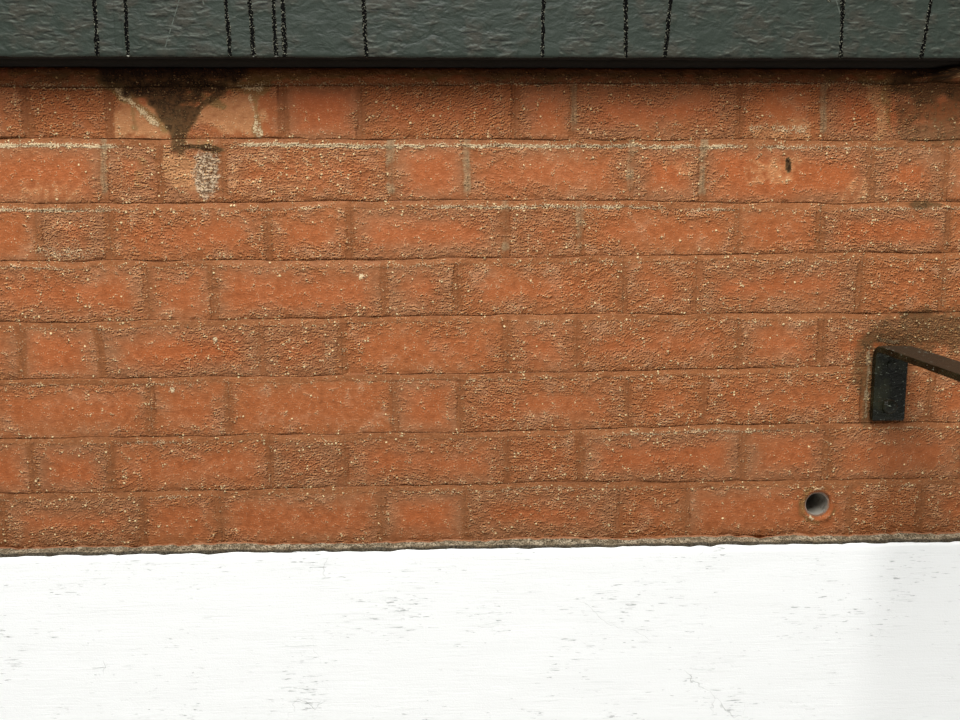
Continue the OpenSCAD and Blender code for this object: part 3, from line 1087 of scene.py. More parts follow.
@dataclass
class Brickwork:
    """The courses of painted brick, each with the bed joint above it, as closed shells."""

    bond: Bond
    weather: Weathering
    near_left: float = -0.80
    near_right: float = 0.64
    near_pitch: float = 2.7 * MM
    far_pitch: float = 9 * MM
    end_pitch: float = 5 * MM
    back_pitch: float = 11 * MM
    upright_pitch: float = 2.6 * MM
    back_upright_pitch: float = 4.0 * MM
    seam: float = 12 * MM
    strike: float = 4 * MM
    face_rows: int = 23
    back_face_rows: int = 10
    pipe_rim: float = 19.2 * MM
    pipe_floor: float = 17.6 * MM
    pipe_pit: float = 90 * MM
    pipe_clear: float = 30 * MM
    # Round the pipe: the proud collar of paint, the grime outside it, and the crack there
    collar: float = 23 * MM
    grime: float = 26.5 * MM
    rim_crack: float = 27 * MM
    # Spacing of the chips along the arrises
    chip_pitch: float = 0.28

    def __post_init__(self) -> None:
        """Find the weep pipe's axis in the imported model."""
        low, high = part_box("weep_pipe")
        self.pipe_x = (low.x + high.x) / 2
        self.pipe_z = (low.z + high.z) / 2

    def rows(self, course: int, back: bool) -> tuple[Array, Array, Array]:
        """Rows of a course's grid, from the crease under it to the crease above it.

        Args:
            course: Course, counted from the plinth.
            back: Whether the grid is the coarser one of the back.

        Returns:
            Share of the brick's height, share of the joint's height, and share of the strike's
            depth at each row.
        """
        last = course == self.bond.courses
        inner = np.linspace(0.08, 0.92, self.back_face_rows if back else self.face_rows)
        rims = (0.03,) if back else (0.012, 0.04)
        above = [0.0] if last else [0.1, 0.5, 1.0] if back else [0.06, 0.2, 0.45, 0.75, 1.0]
        top = np.ones(1 + len(above))
        face = np.concatenate([[0.0, 0.0], rims, inner, [1 - r for r in rims[::-1]], top])
        joint = np.concatenate([np.zeros(len(face) - len(above)), above])
        ledge = np.zeros(len(face))
        ledge[:2] = 1.0, 0.35
        ledge[-1] = float(last)
        return face, joint, ledge

    def columns(self, course: int, side: Side, start: float, stop: float, back: bool) -> Array:
        """Distances of a grid's columns along a side.

        Formula: the wanted spacing is fine in the stretch seen from near, and falls to the
        uprights' spacing within a joint's width of each upright joint and each corner.

        Args:
            course: Course, counted from the plinth.
            side: Side of the wall.
            start: First distance.
            stop: Last distance.
            back: Whether the grid is the coarser one of the back.

        Returns:
            The distances.
        """
        uprights = np.concatenate([self.bond.uprights(course, side), [-8 * MM, self.length(side) + 8 * MM]])
        fine = self.back_upright_pitch if back else self.upright_pitch

        def pitch(along: Array) -> Array:
            """Wanted spacing.

            Args:
                along: Distances along the side.

            Returns:
                The spacing at each distance.
            """
            if side is Side.FRONT:
                x = along - self.bond.length / 2
                away = np.maximum(self.near_left - x, x - self.near_right)
                wanted = self.near_pitch + (self.far_pitch - self.near_pitch) * smooth(0.0, 0.15, away)
            else:
                wanted = np.full(along.shape, self.back_pitch if side is Side.BACK else self.end_pitch)
            if side is Side.BACK and course == 1:
                hole = np.abs(self.bond.length / 2 - along - self.pipe_x)
                wanted = np.where(hole < self.pipe_clear, fine, wanted)
            near = np.min(np.abs(along[:, None] - uprights[None, :]), axis=1)
            return np.minimum(wanted, fine + 0.5 * np.maximum(near - 7 * MM, 0))

        return paced(start, stop, pitch)

    def length(self, side: Side) -> float:
        """Length of a side in plan."""
        return self.bond.depth if side in (Side.LEFT, Side.RIGHT) else self.bond.length

    def plan(self, side: Side, along: Array) -> tuple[Array, Array, tuple[int, int]]:
        """Places of a side in plan, and the direction that it faces.

        Args:
            side: Side of the wall.
            along: Distances from the side's first corner.

        Returns:
            X and Y of each place, and the outward direction's X and Y.
        """
        half_l, half_t = self.bond.length / 2, self.bond.depth / 2
        start, run, out = {
            Side.LEFT: ((-half_l, half_t), (0, -1), (-1, 0)),
            Side.FRONT: ((-half_l, -half_t), (1, 0), (0, -1)),
            Side.RIGHT: ((half_l, -half_t), (0, 1), (1, 0)),
            Side.BACK: ((half_l, half_t), (-1, 0), (0, 1)),
        }[side]
        return start[0] + run[0] * along, start[1] + run[1] * along, out

    def relief(
        self, course: int, side: Side, along: Array, rows: tuple[Array, Array, Array]
    ) -> tuple[Array, Values]:
        """Depth of each point of a side behind the wall's plane, and the values that the paint reads.

        Formula: a brick's depth is its own setting and tilt, plus an arris that falls off
        exponentially from its edges, plus two sizes of roughness and the brushed ridges. An
        upright joint takes over within its width. A bed joint slopes from flush at the lower
        brick to the strike's depth at the crease, with a proud lip where lime runs along it.

        Args:
            course: Course, counted from the plinth.
            side: Side of the wall.
            along: Distances along the side.
            rows: Rows of the grid.

        Returns:
            Depths, rows by columns, and the named values.
        """
        bond, weather = self.bond, self.weather
        long_face = side in (Side.FRONT, Side.BACK)
        last = course == bond.courses
        face, joint, ledge = (r[:, None] for r in rows)
        in_joint = joint > 0
        x, y, _ = self.plan(side, along)
        x, y, a = x[None, :], y[None, :], along[None, :]
        low, high = bond.line(course, x), bond.line(course + 1, x)
        joint_t = np.zeros(x.shape) if last else bond.joint_t * (1 + 0.18 * noise(x, y, course, 75 * MM, 21))
        top = high - joint_t - (0 if last else 1) * noise(x, y, course, 9 * MM, 22) * 0.9 * MM
        z = low + face * (top - low) + joint * (high - top)

        def rand(size: float, seed: int) -> Array:
            """Noise on the side, its size in millimetres."""
            return noise(x, y, z, size * MM, seed)

        def rough_of(size: float, seed: int, octaves: int = 3, long: float = 1.0) -> Array:
            """Fractal noise on the side, its size in millimetres, drawn out along the wall."""
            return fractal(x / long, y, z, size * MM, seed, octaves)

        uprights = bond.uprights(course, side)
        edges = np.concatenate([[0.0], uprights, [self.length(side)]])
        bricks = len(edges) - 1
        rng = np.random.default_rng(1000 * side.value + course)
        setting = rng.normal(0, 0.7, bricks) * MM
        tilt_x = rng.normal(0, 0.45, bricks) * MM
        tilt_z = rng.normal(0, 0.5, bricks) * MM
        tone = rng.random(bricks)
        bias = rng.uniform(-0.35, 0.3, bricks)
        turn = np.radians(rng.normal(2, 4, bricks) + 20 * (rng.random(bricks) < 0.08))
        worn = rng.uniform(0.7, 1.7, bricks) * MM
        width = rng.uniform(4.8, 6.4, bricks + 1) * MM
        sunk = rng.uniform(0.0, 0.9, bricks + 1) * MM
        opened = rng.choice([-1.0, 1.0], bricks + 1)
        lean = rng.normal(0, 2.2, bricks + 1) * MM
        strong = rng.uniform(0.6, 1.2, bricks + 1)

        index = np.clip(np.searchsorted(edges, along, side="right") - 1, 0, bricks - 1)[None, :]
        wobble = noise(a, course, z, 26 * MM, 31) * 1.6 * MM + noise(a, course, z, 8 * MM, 32) * 1.0 * MM

        def gap(number: Array, sign: int) -> tuple[Array, Array]:
            """Distance inside the brick from one of its ends.

            Args:
                number: Number of the end, at each place.
                sign: 1 at the left end and -1 at the right one.

            Returns:
                The distance to the end, and to its upright joint, which is far at a corner.
            """
            inner = (number > 0) & (number < bricks)
            half = np.where(inner, width[number], 0.0)
            line = edges[number] + np.where(inner, lean[number] * (face - 0.5) + wobble, 0.0)
            distance = sign * (a - line) - half
            return distance, np.where(inner, distance, 1.0)

        left, left_joint = gap(index, 1)
        right, right_joint = gap(index + 1, -1)
        to_joint = np.minimum(left_joint, right_joint)
        nearest = np.where(left_joint < right_joint, index, index + 1)
        below, over = face * bond.brick_h, (1 - face) * bond.brick_h
        upright = smooth(2.2 * MM, -2.2 * MM, to_joint)

        middle = (edges[index] + edges[index + 1]) / 2
        share = (a - middle) / (edges[index + 1] - edges[index])
        inner = np.minimum(np.minimum(left, right) / (32 * MM), np.minimum(below, over) / (27 * MM))
        core = smooth(0.0, 1.3, inner + 0.42 * rough_of(26, 65, long=2.5) + bias[index])
        rough = rough_of(42, 66, long=1.6) + 0.3 - 0.6 * core - bias[index]
        rough = smooth(-0.5, 0.7, rough + 0.25 * smooth(0.1, 0.45, x))
        u = a * np.cos(turn[index]) + z * np.sin(turn[index]) + 3.7 * index
        v = z * np.cos(turn[index]) - a * np.sin(turn[index]) + 1.3 * index
        ridges = noise(u, v * 3, course, 14 * MM, 42)
        arris = 0.55 * np.exp(-np.maximum(np.minimum(left, right), 0) / (2.6 * MM))
        arris = np.maximum(arris, np.exp(-below / (2.6 * MM)))
        arris = np.maximum(arris, 0.25 * np.exp(-over / (2.6 * MM)))
        depth = setting[index] + 2 * tilt_x[index] * share + 2 * tilt_z[index] * (face - 0.5)
        depth = depth + worn[index] * arris * (1 + 0.6 * rand(11, 43)) + rough_of(34, 44) * 0.7 * MM
        depth = depth + (rough_of(9, 45, 2, 1.8) * 0.9 + ridges * 0.5) * rough * MM
        packing = sunk[nearest] + rough_of(9, 46, 2) * 0.9 * MM
        depth = depth * (1 - upright) + packing * upright

        chips = np.zeros(depth.shape)
        for _ in range(max(2, int(self.length(side) / self.chip_pitch))):
            spot = rng.random() * self.length(side)
            level = rng.choice([0.0, 1.0]) * bond.brick_h + low
            size = rng.uniform(5, 13) * MM
            reach = np.hypot((a - spot) / size, (z - level) / (0.6 * size))
            chips = np.maximum(chips, smooth(1.2, 0.3, reach + 0.35 * rand(6, 47)) * size * 0.17)
        depth = depth + chips * (1 - upright)
        ring = np.full(depth.shape, 1.0)
        if course == 1 and long_face:
            ring = np.hypot(x - self.pipe_x, z - self.pipe_z)
            away = (ring + 2.2 * MM * rand(10, 57) - self.collar) / (2.6 * MM)
            depth = depth - 1.9 * MM * np.exp(-(away**2)) * (1 + 0.8 * rand(7, 55))

        wear_x = x if side is Side.FRONT else -x
        patchy = 0.85 + 0.35 * rand(14, 53) + 0.25 * rand(5, 54)
        lime = weather.lime(course + 1, wear_x) * patchy
        struck = (noise(x, y, float(line), 45 * MM, 51) for line in (course, course + 1))
        under, crease = (self.strike * (0.18 + 0.36 * uneven) for uneven in struck)
        lip = np.exp(-(((joint - 0.14) / 0.16) ** 2)) * (0.1 + 1.1 * lime) * MM
        bed = depth * (1 - joint) ** 1.3 + crease * joint**2.4 - lip
        depth = np.where(in_joint, bed + rough_of(12, 52, 2) * 0.5 * MM * (1 - joint), depth)
        depth = np.where(ledge > 0, (crease if last else under) * ledge, depth)

        soot = bare = thin = spall = chalk = damp = np.zeros(depth.shape)
        if long_face:
            kinds = (Wear.SOOT, Wear.LIME, Wear.THIN, Wear.DAMP)
            soot, chalk, thin, damp = (weather.wear(kind, wear_x, z, side is Side.FRONT) for kind in kinds)
            thin = thin * (1 - 0.8 * upright) * np.where(in_joint, 0.2, 1.0)
            for number, place in weather.bare_uprights:
                if number == course:
                    stand = smooth(14 * MM, 7 * MM, np.abs(wear_x - place)) * smooth(0.02, 0.2, face)
                    bare = np.maximum(bare, stand * upright * (0.55 + 0.45 * rand(20, 61)))
            torn = 9 * MM * rough_of(16, 67)
            spall = weather.spot(wear_x + torn, z - torn, weather.spall)
            depth = depth + spall * (1.2 * MM + rough_of(6, 62, 2) * 1.2 * MM)
        streak = np.where(in_joint, np.exp(-(((joint - 0.04) / 0.26) ** 2)), smooth(0.945, 0.99, face))
        grimy = np.exp(-(((ring - self.grime) / (3.2 * MM)) ** 2)) * smooth(-0.4, 0.5, rand(13, 56))

        # An upright joint has cracked along one of its edges, here left and there right
        line = edges[nearest] + lean[nearest] * (face - 0.5) + wobble + opened[nearest] * width[nearest]
        aside = (a - line) * opened[nearest]
        near = smooth(11 * MM, 7 * MM, np.abs(aside)) * ((nearest > 0) & (nearest < bricks))
        fall = np.where(in_joint, high - z, np.where(ledge > 0, 0.0, below))
        fall = np.minimum(fall, np.abs(ring - self.rim_crack))
        banded = np.maximum(0.8 * smooth(6 * MM, -1 * MM, over), 0.5 * smooth(4 * MM, -1 * MM, below))
        stained = smooth((4.4 + 1.8 * rand(38, 68)) * MM, -1.8 * MM, to_joint)
        edge = np.exp(-(((z - top) / (2.4 * MM)) ** 2)) * (0.5 + 0.5 * noise(x, y, course, 30 * MM, 64))
        return depth, {
            "joint": np.where(in_joint, 1.0, banded),
            "upright": np.where(in_joint, 0.0, stained) * strong[nearest],
            "lip": edge,
            "rough": rough * np.where(in_joint, 0.3, 1 - 0.6 * upright),
            "aside": np.clip(aside / MM, -12, 12),
            "opened": near * ~in_joint * smooth(-0.2, 0.6, rand(24, 63)),
            "fall": np.clip(fall / MM, 0, 12),
            "core": np.where(in_joint, 0.0, core * (1 - upright)),
            "tone": tone[index],
            "lime": np.maximum(streak * lime, chalk),
            "soot": soot,
            "bare": bare,
            "thin": thin,
            "damp": np.maximum(damp, 0.9 * grimy),
            "spall": spall,
            "u": u,
            "v": v,
            "x": x,
            "z": z,
        }

    def pit(self, x: Array, z: Array, depth: Array, cell: float) -> tuple[Array, Array, Array]:
        """Sink the face inside the weep pipe, so that the pipe stands open.

        Formula: points near the rim's circle move onto it, the next ones inwards move onto a
        circle inside the thickness of the pipe's wall, and all inside the rim sink to the pit's
        floor.

        Args:
            x, z: Places on the face.
            depth: Depth of the points.
            cell: Size of the grid's cells there.

        Returns:
            The new X, Z and depth.
        """
        dx, dz = x - self.pipe_x, z - self.pipe_z
        radius = np.maximum(np.hypot(dx, dz), 1e-6)
        inner = self.pipe_rim - 0.6 * cell
        rim = (radius >= inner) & (radius < self.pipe_rim + 0.55 * cell)
        foot = (radius < inner) & (radius > inner - 1.5 * cell)
        wanted = np.where(rim, self.pipe_rim, np.where(foot, self.pipe_floor, radius))
        depth = np.where(rim, 0.6 * MM, np.where(radius < inner, self.pipe_pit, depth))
        return self.pipe_x + dx * wanted / radius, self.pipe_z + dz * wanted / radius, depth

    def shell(self, course: int, back: bool) -> Shell:
        """One course's shell: the front with both ends, or the back with its two corners.

        Args:
            course: Course, counted from the plinth.
            back: Whether it is the back one.

        Returns:
            The closed shell.
        """
        length, depth_t, seam = self.bond.length, self.bond.depth, self.seam
        spans = ((Side.RIGHT, depth_t - seam, depth_t), (Side.BACK, 0.0, length), (Side.LEFT, 0.0, seam))
        if not back:
            short = depth_t - seam
            spans = ((Side.LEFT, seam, depth_t), (Side.FRONT, 0.0, length), (Side.RIGHT, 0.0, short))
        rows = self.rows(course, back)
        blocks: list[Array] = []
        named: dict[str, list[Array]] = {}
        carry: Array | None = None
        for number, (side, start, stop) in enumerate(spans):
            along = self.columns(course, side, start, stop, back)
            depth, values = self.relief(course, side, along, rows)
            _, y, out = self.plan(side, along)
            x, z = np.broadcast_to(values.pop("x"), depth.shape), values["z"]
            before = sum(self.length(other) for other in Side if other.value < side.value)
            values["s"] = (along + before)[None, :]
            if course == 1 and side in (Side.FRONT, Side.BACK):
                x, z, depth = self.pit(x, z, depth, 2.7 * MM if side is Side.FRONT else 5 * MM)
            points = np.stack([x - depth * out[0], y - depth * out[1], z], axis=-1)
            if carry is not None:
                points[:, 0, :2] += carry
            carry = -depth[:, -1:] * np.array(out, float)[None, :]
            keep = slice(0, len(along) - (1 if number < len(spans) - 1 else 0))
            blocks.append(points[:, keep])
            for key, value in values.items():
                named.setdefault(key, []).append(np.broadcast_to(value, depth.shape)[:, keep])
        points = np.concatenate(blocks, axis=1)
        merged = {key: np.concatenate(parts, axis=1) for key, parts in named.items()}
        if course == 1:
            foot = points[:1].copy()
            foot[..., 2] = self.bond.foot
            points = np.concatenate([foot, points])
            merged = {key: np.concatenate([value[:1], value]) for key, value in merged.items()}
        shell = Shell()
        index = shell.grid(points, merged)
        shell.cap(index[-1])
        shell.cap(index[0, ::-1])
        shell.cap(np.concatenate([[index[0, -1]], index[:, 0], index[:0:-1, -1]]))
        return shell

    def dress(self, finishes: Finishes) -> None:
        """Build every course, front and back.

        Args:
            finishes: Materials of the wall.
        """
        maps = {"brush": ("u", "v"), "plane": ("s", "z")}
        for course in range(1, self.bond.courses + 1):
            nodes = [f"brick_course_{course}"]
            nodes += [f"bed_joint_{course + 1}"] if course < self.bond.courses else []
            nodes += ["bed_joint_1"] if course == 1 else []
            for back in (False, True):
                name = f"course_{course}_{'back' if back else 'front'}"
                self.shell(course, back).piece(name, Slot.BRICK, finishes.paint, *nodes, maps=maps)


def wall_ring(length: float, depth: float, pitch: Callable[[Array], Array], ends: float, soft: int) -> Array:
    """Path round the wall in plan, with the direction in which a section is laid off from it.

    Formula: each side is paced along its length; at each corner the path stands still while the
    laying-off direction turns from one side's to the next, in a number of soft steps.

    Args:
        length: Length of the ring.
        depth: Depth of the ring.
        pitch: Wanted spacing along the front.
        ends: Spacing along the ends and the back.
        soft: Steps at a corner.

    Returns:
        Columns of x, y, x direction and y direction.
    """
    half_l, half_t = length / 2, depth / 2
    front = paced(-half_l, half_l, pitch)
    rear = np.linspace(half_l, -half_l, int(length / ends) + 1)
    side = np.linspace(-half_t, half_t, int(depth / ends) + 1)
    turn = np.linspace(0.0, 1.0, soft + 2)[1:-1]
    leaving, coming = (np.sqrt(np.minimum(1, 2 * t)) for t in (1 - turn, turn))
    # Each side's stations, the direction that it faces, and the one that the next side faces
    sides = ((front, 0, -1, 1, 0), (side, 1, 0, 0, 1), (rear, 0, 1, -1, 0), (side[::-1], -1, 0, 0, -1))
    runs = []
    for along, nx, ny, tx, ty in sides:
        flat, spot = np.ones(len(along) - 2), np.ones(soft)
        x = along[1:-1] if ny else nx * half_l * flat
        y = along[1:-1] if nx else ny * half_t * flat
        runs.append(np.stack([x, y, nx * flat, ny * flat]))
        x, y = (nx + tx) * half_l * spot, (ny + ty) * half_t * spot
        runs.append(np.stack([x, y, nx * leaving + tx * coming, ny * leaving + ty * coming]))
    return np.concatenate(runs, axis=1)


def repaint(node: str, material: bpy.types.Material) -> None:
    """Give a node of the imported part, which stays in view, its material.

    Args:
        node: Name of the node.
        material: Its material.
    """
    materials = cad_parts[node].data.materials
    materials.clear()
    materials.append(material)


@dataclass
class CopingBed:
    """The mortar bed under the coping, lumpy and set back a little."""

    bond: Bond
    weather: Weathering
    near_pitch: float = 3.2 * MM
    far_pitch: float = 11 * MM
    # The finely built stretch: X of its middle, half its length, and the length of its fade
    near: tuple[float, float, float] = (-0.08, 0.72, 0.2)
    inner: float = 60 * MM
    # A lump of mortar that squeezed out: middle x and z, half width, half height
    clot: tuple[float, float, float, float] = (0.574, 1.4165, 0.030, 0.007)

    def dress(self, finishes: Finishes) -> None:
        """Build the bed as a ring of lumpy mortar.

        Args:
            finishes: Materials of the wall.
        """
        low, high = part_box("coping_bed")
        pitch = stretch(self.near_pitch, self.far_pitch, *self.near)
        x, y, ox, oy = wall_ring(high.x - low.x, high.y - low.y, pitch, self.far_pitch, 3)
        bottom = self.bond.line(self.bond.courses + 1, x)
        share = np.array([0.0, 0.0, 0.12, 0.26, 0.4, 0.55, 0.7, 0.85, 1.0, 1.0])[:, None]
        inset = np.array([1.0, 0, 0, 0, 0, 0, 0, 0, 0, 1.0])[:, None]
        z = bottom + share * (high.z - bottom)
        lump = fractal(x, y, z, 24 * MM, 91) * 1.5 * MM
        depth = 2.2 * MM * share + 0.8 * MM + lump + fractal(x, y, z, 7 * MM, 92, 2) * 0.7 * MM
        clot = Weathering.spot(x, z, self.clot) * (y < 0)
        depth = np.maximum(depth, -1.2 * MM) - clot * (25 * MM + 7 * MM * noise(x, 0.0, z, 7 * MM, 93))
        depth = depth * (1 - inset) + self.inner * inset
        points = np.stack([x - ox * depth, y - oy * depth, z], axis=-1)
        wear = np.where(y < 0, x, -x)
        soot, damp = (self.weather.wear(kind, wear, z) for kind in (Wear.SOOT, Wear.DAMP))
        flat = points[..., 0] + points[..., 1]
        values = {
            "u": flat,
            "v": z,
            "s": flat,
            "z": z,
            "joint": 1.0,
            "fall": 12.0,
            "aside": 12.0,
            "lime": 0.35 * np.exp(-((share - 0.05) / 0.2) ** 2),
            "rough": 0.4,
            # Soot and damp rise towards the coping: stain, and painted shade under its overhang
            "soot": np.clip(soot + 0.3 * share, 0, 1),
            "damp": np.clip(damp + 0.3 * share, 0, 1),
            "spall": clot,
        }
        shell = Shell()
        shell.grid(points, values, close_rows=True, close_columns=True)
        maps = {"brush": ("u", "v"), "plane": ("s", "z")}
        shell.piece("coping_bed_mortar", Slot.MORTAR, finishes.paint, "coping_bed", maps=maps)


@dataclass
class Coping:
    """Three coping stones under dragged paint, the joints between them, and the black runs."""

    rise: float = 22 * MM
    arris: float = 12 * MM
    lower_arris: float = 5 * MM
    throat: float = 6 * MM
    throat_inset: float = 17 * MM
    skin: float = 1.1 * MM
    joint_skin: float = 0.05 * MM
    end_round: float = 0.35 * MM
    end_from: float = 1.6
    near_stone: int = 2
    near_pitch: float = 6 * MM
    far_pitch: float = 7 * MM
    joint_pitch: float = 3 * MM
    run_half: float = 3.0 * MM
    scratch_half: float = 0.9 * MM
    run_thick: float = 0.8 * MM
    # Runs on the front, in millimetres: x at the top and at the foot, and how far down it comes
    runs: tuple[tuple[float, float, float], ...] = (
        (-585, -585, 1.0), (-546, -546, 1.0), (-418, -416, 1.0), (-388, -385, 1.0), (-358, -356, 1.0),
        (-345, -345, 1.0), (-242, -239, 1.0), (-8, -10, 1.0), (98, 101, 1.0), (159, 152, 1.0),
        (386, 387, 1.0), (367, 367, 0.22), (505, 495, 1.0),
    )
    # Pale scratches, the same way
    scratches: tuple[tuple[float, float, float], ...] = (
        (-472, -499, 0.88), (-452, -446, 0.3), (372, 384, 0.4),
    )
    # Seeded runs elsewhere: whether on the front, from, to, how many
    others: tuple[tuple[bool, float, float, int], ...] = (
        (True, 0.70, 1.62, 9), (True, -1.62, -0.82, 8), (False, -1.6, 1.6, 26),
    )
    # A dark smudge near the lower edge: middle x and z, half width, half height
    smudge: tuple[float, float, float, float] = (-0.460, 1.434, 0.015, 0.010)

    def __post_init__(self) -> None:
        """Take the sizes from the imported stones."""
        low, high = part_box("coping_stone_1")
        self.half = (high.y - low.y) / 2
        self.bed = low.z
        self.face_h = high.z - low.z - self.rise
        self.count = sum(name.startswith("coping_stone_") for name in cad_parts)

    def outline(self) -> Array:
        """Section of a stone in Y and Z, anticlockwise from its front throat, closed.

        Formula: straight faces paced at a few millimetres, arcs at the four arrises and half
        circles at the two throats; the front half is the back half mirrored.

        Returns:
            Points by 2, from Z = 0 at the stone's bed.
        """
        half, foot = self.half, self.lower_arris
        slope = math.atan(self.rise / half)
        shoulder = self.face_h + self.arris * (math.tan(slope) - 1 / math.cos(slope))
        brow = (half - self.arris * (1 - math.sin(slope)), shoulder + self.arris * math.cos(slope))
        ridge = (0, self.face_h + half * math.tan(slope))

        def arc(cy: float, cz: float, r: float, start: float, stop: float, count: int) -> Array:
            """Points of an arc, angles in degrees from +Y."""
            t = np.radians(np.linspace(start, stop, count))
            return np.stack([cy + r * np.cos(t), cz + r * np.sin(t)], axis=-1)

        def run(a: tuple[float, float], b: tuple[float, float], count: int) -> Array:
            """Points between two places, both left out."""
            t = np.linspace(0, 1, count + 2)[1:-1, None]
            return np.array(a) * (1 - t) + np.array(b) * t

        throat = arc(half - self.throat_inset, 0.0, self.throat, 180, 0, 7)
        back = np.concatenate([
            throat,
            arc(half - foot, foot, foot, -90, 0, 5),
            run((half, foot), (half, shoulder), 15),
            arc(half - self.arris, shoulder, self.arris, 0, 90 - math.degrees(slope), 7),
            run(brow, ridge, 13),
        ])
        front = (back * (-1, 1))[::-1]
        under = run(front[-1], back[0], 14)
        return np.concatenate([front[-len(throat) :], under, back, [ridge], front[: -len(throat)]])

    def surface(self, x: Array, y: Array, z: Array) -> Array:
        """Depth of the painted skin behind the stone's true outline.

        Formula: a mean skin, plus slow lumps, plus brush drags that run along the wall.

        Args:
            x, y, z: Places on the stone.

        Returns:
            Depths, never under a tenth of a millimetre.
        """
        lumps = fractal(x, y, z, 34 * MM, 101) * 0.7 * MM
        drags = fractal(x / 6, y / 2, z, 7 * MM, 102, 2) * 0.42 * MM
        return np.maximum(self.skin + lumps + drags, 0.1 * MM)

    def bar(self, start: float, stop: float, skin: float, pitch: float) -> Shell:
        """A length of the coping's section with rounded ends.

        Formula: at an end the section draws in by r (1 - cos t) while it moves out by r sin t.

        Args:
            start: X of the left end.
            stop: X of the right end.
            skin: Least depth of the surface behind the true outline.
            pitch: Spacing along X.

        Returns:
            The closed shell.
        """
        r = self.end_round
        turn = np.radians(np.array([90.0, 70.0, 45.0, 20.0]))
        ends = r * (1 - np.sin(turn))
        middle = np.linspace(start + r, stop - r, max(2, int((stop - start) / pitch)))
        stations = np.concatenate([start + ends, middle, stop - ends[::-1]])[:, None]
        turned = np.concatenate([turn, np.zeros(len(middle)), turn[::-1]])[:, None]
        section = self.outline()
        after = np.roll(section, -1, axis=0) - np.roll(section, 1, axis=0)
        normal = np.stack([after[:, 1], -after[:, 0]], axis=-1)
        normal /= np.linalg.norm(normal, axis=1, keepdims=True)
        x, y, z = np.broadcast_arrays(stations, section[:, 0], section[:, 1] + self.bed)
        coat = self.surface(x, y, z)
        depth = coat + skin + r - r * np.cos(turned)
        shift = (coat * 0.8 + 0.1 * MM) * np.sin(turned) * (np.abs(x) > self.end_from)
        towards = np.where(np.arange(len(stations)) < len(stations) / 2, 1.0, -1.0)[:, None]
        points = np.stack([x + towards * shift, y - normal[:, 0] * depth, z - normal[:, 1] * depth], axis=-1)
        inward = self.half - np.abs(y) + 1.6 * MM * noise(x, y, 0.0, 16 * MM, 104)
        # The underside and the face's foot are laid black, dark paint and painted shade; the face darkens
        # towards its lower edge, and a smudge is added
        under = smooth(1.6 * MM, 4.2 * MM, inward) * (z < self.bed + 8 * MM)
        under = np.maximum(under, 0.35 * smooth(5 * MM, 1 * MM, z - self.bed))
        darker_low_and_smudge = 0.4 * smooth(18 * MM, 0.0, z - self.bed) * smooth(0.0, 0.8, noise(x, y, z, 30 * MM, 103))
        darker_low_and_smudge = np.maximum(darker_low_and_smudge, 0.34 * Weathering.spot(x, z, self.smudge) * (y < 0))
        shell = Shell()
        shell.tube(points[:, ::-1], {"grime_and_shade": np.maximum(under, darker_low_and_smudge)[:, ::-1]})
        return shell

    def run(self, number: int, top: float, foot: float, reach: float, front: bool, pale: bool) -> Array:
        """One black run down a face, as a low beaded ridge.

        Formula: across the run the height is a half ellipse; its half width and height swell
        and pinch with noise, and end in a drop.

        Args:
            number: Number of the run, for its noise.
            top: X at the top of the face.
            foot: X at the bottom of the run.
            reach: Share of the face's height that it runs down.
            front: Whether it is on the front.
            pale: Whether it is a thin scratch.

        Returns:
            Its points, rows by columns by 3.
        """
        rows = np.linspace(0, 1, 60)[:, None]
        across = np.linspace(-1, 1, 7)[None, :]
        z = self.bed + self.face_h - 3 * MM - rows * reach * (self.face_h - 4 * MM)
        swell = 1 + 0.26 * noise(number, 0.0, z, 2.6 * MM, 111) + 0.16 * noise(number, 0.0, z, 14 * MM, 112)
        wide = self.scratch_half if pale else self.run_half
        half = wide * swell * smooth(1.0, 0.985, rows) * smooth(0.0, 0.02, rows) + 0.05 * MM
        x = top + (foot - top) * rows**1.2 + noise(number, 1.0, z, 18 * MM, 113) * 0.9 * MM + across * half
        proud = np.sqrt(np.maximum(1 - across**2, 0)) * wide * 0.2 * np.clip(swell, 0.3, 1.4)
        y = self.half - self.surface(x, -self.half, z) + proud * 0.9 - 0.12 * MM
        y = np.minimum(y, self.half - 0.02 * MM)
        points = np.stack([x, -y, np.broadcast_to(z, x.shape)], axis=-1)
        return points if front else points * (-1, -1, 1)

    def all_runs(self) -> list[tuple[float, float, float, bool, bool]]:
        """The runs seen near the middle of the front, and seeded ones elsewhere.

        Returns:
            For each run the x at its top and foot, its reach, whether it is on the front and
            whether it is a pale scratch.
        """
        rng = np.random.default_rng(7)
        known = [(top * MM, foot * MM, reach, True, False) for top, foot, reach in self.runs]
        known += [(top * MM, foot * MM, reach, True, True) for top, foot, reach in self.scratches]
        for front, low, high, count in self.others:
            for place in rng.uniform(low, high, count):
                reach = rng.choice([1.0, 1.0, rng.uniform(0.3, 0.9)])
                known.append((place, place + rng.normal(0, 6 * MM), reach, front, False))
        return known

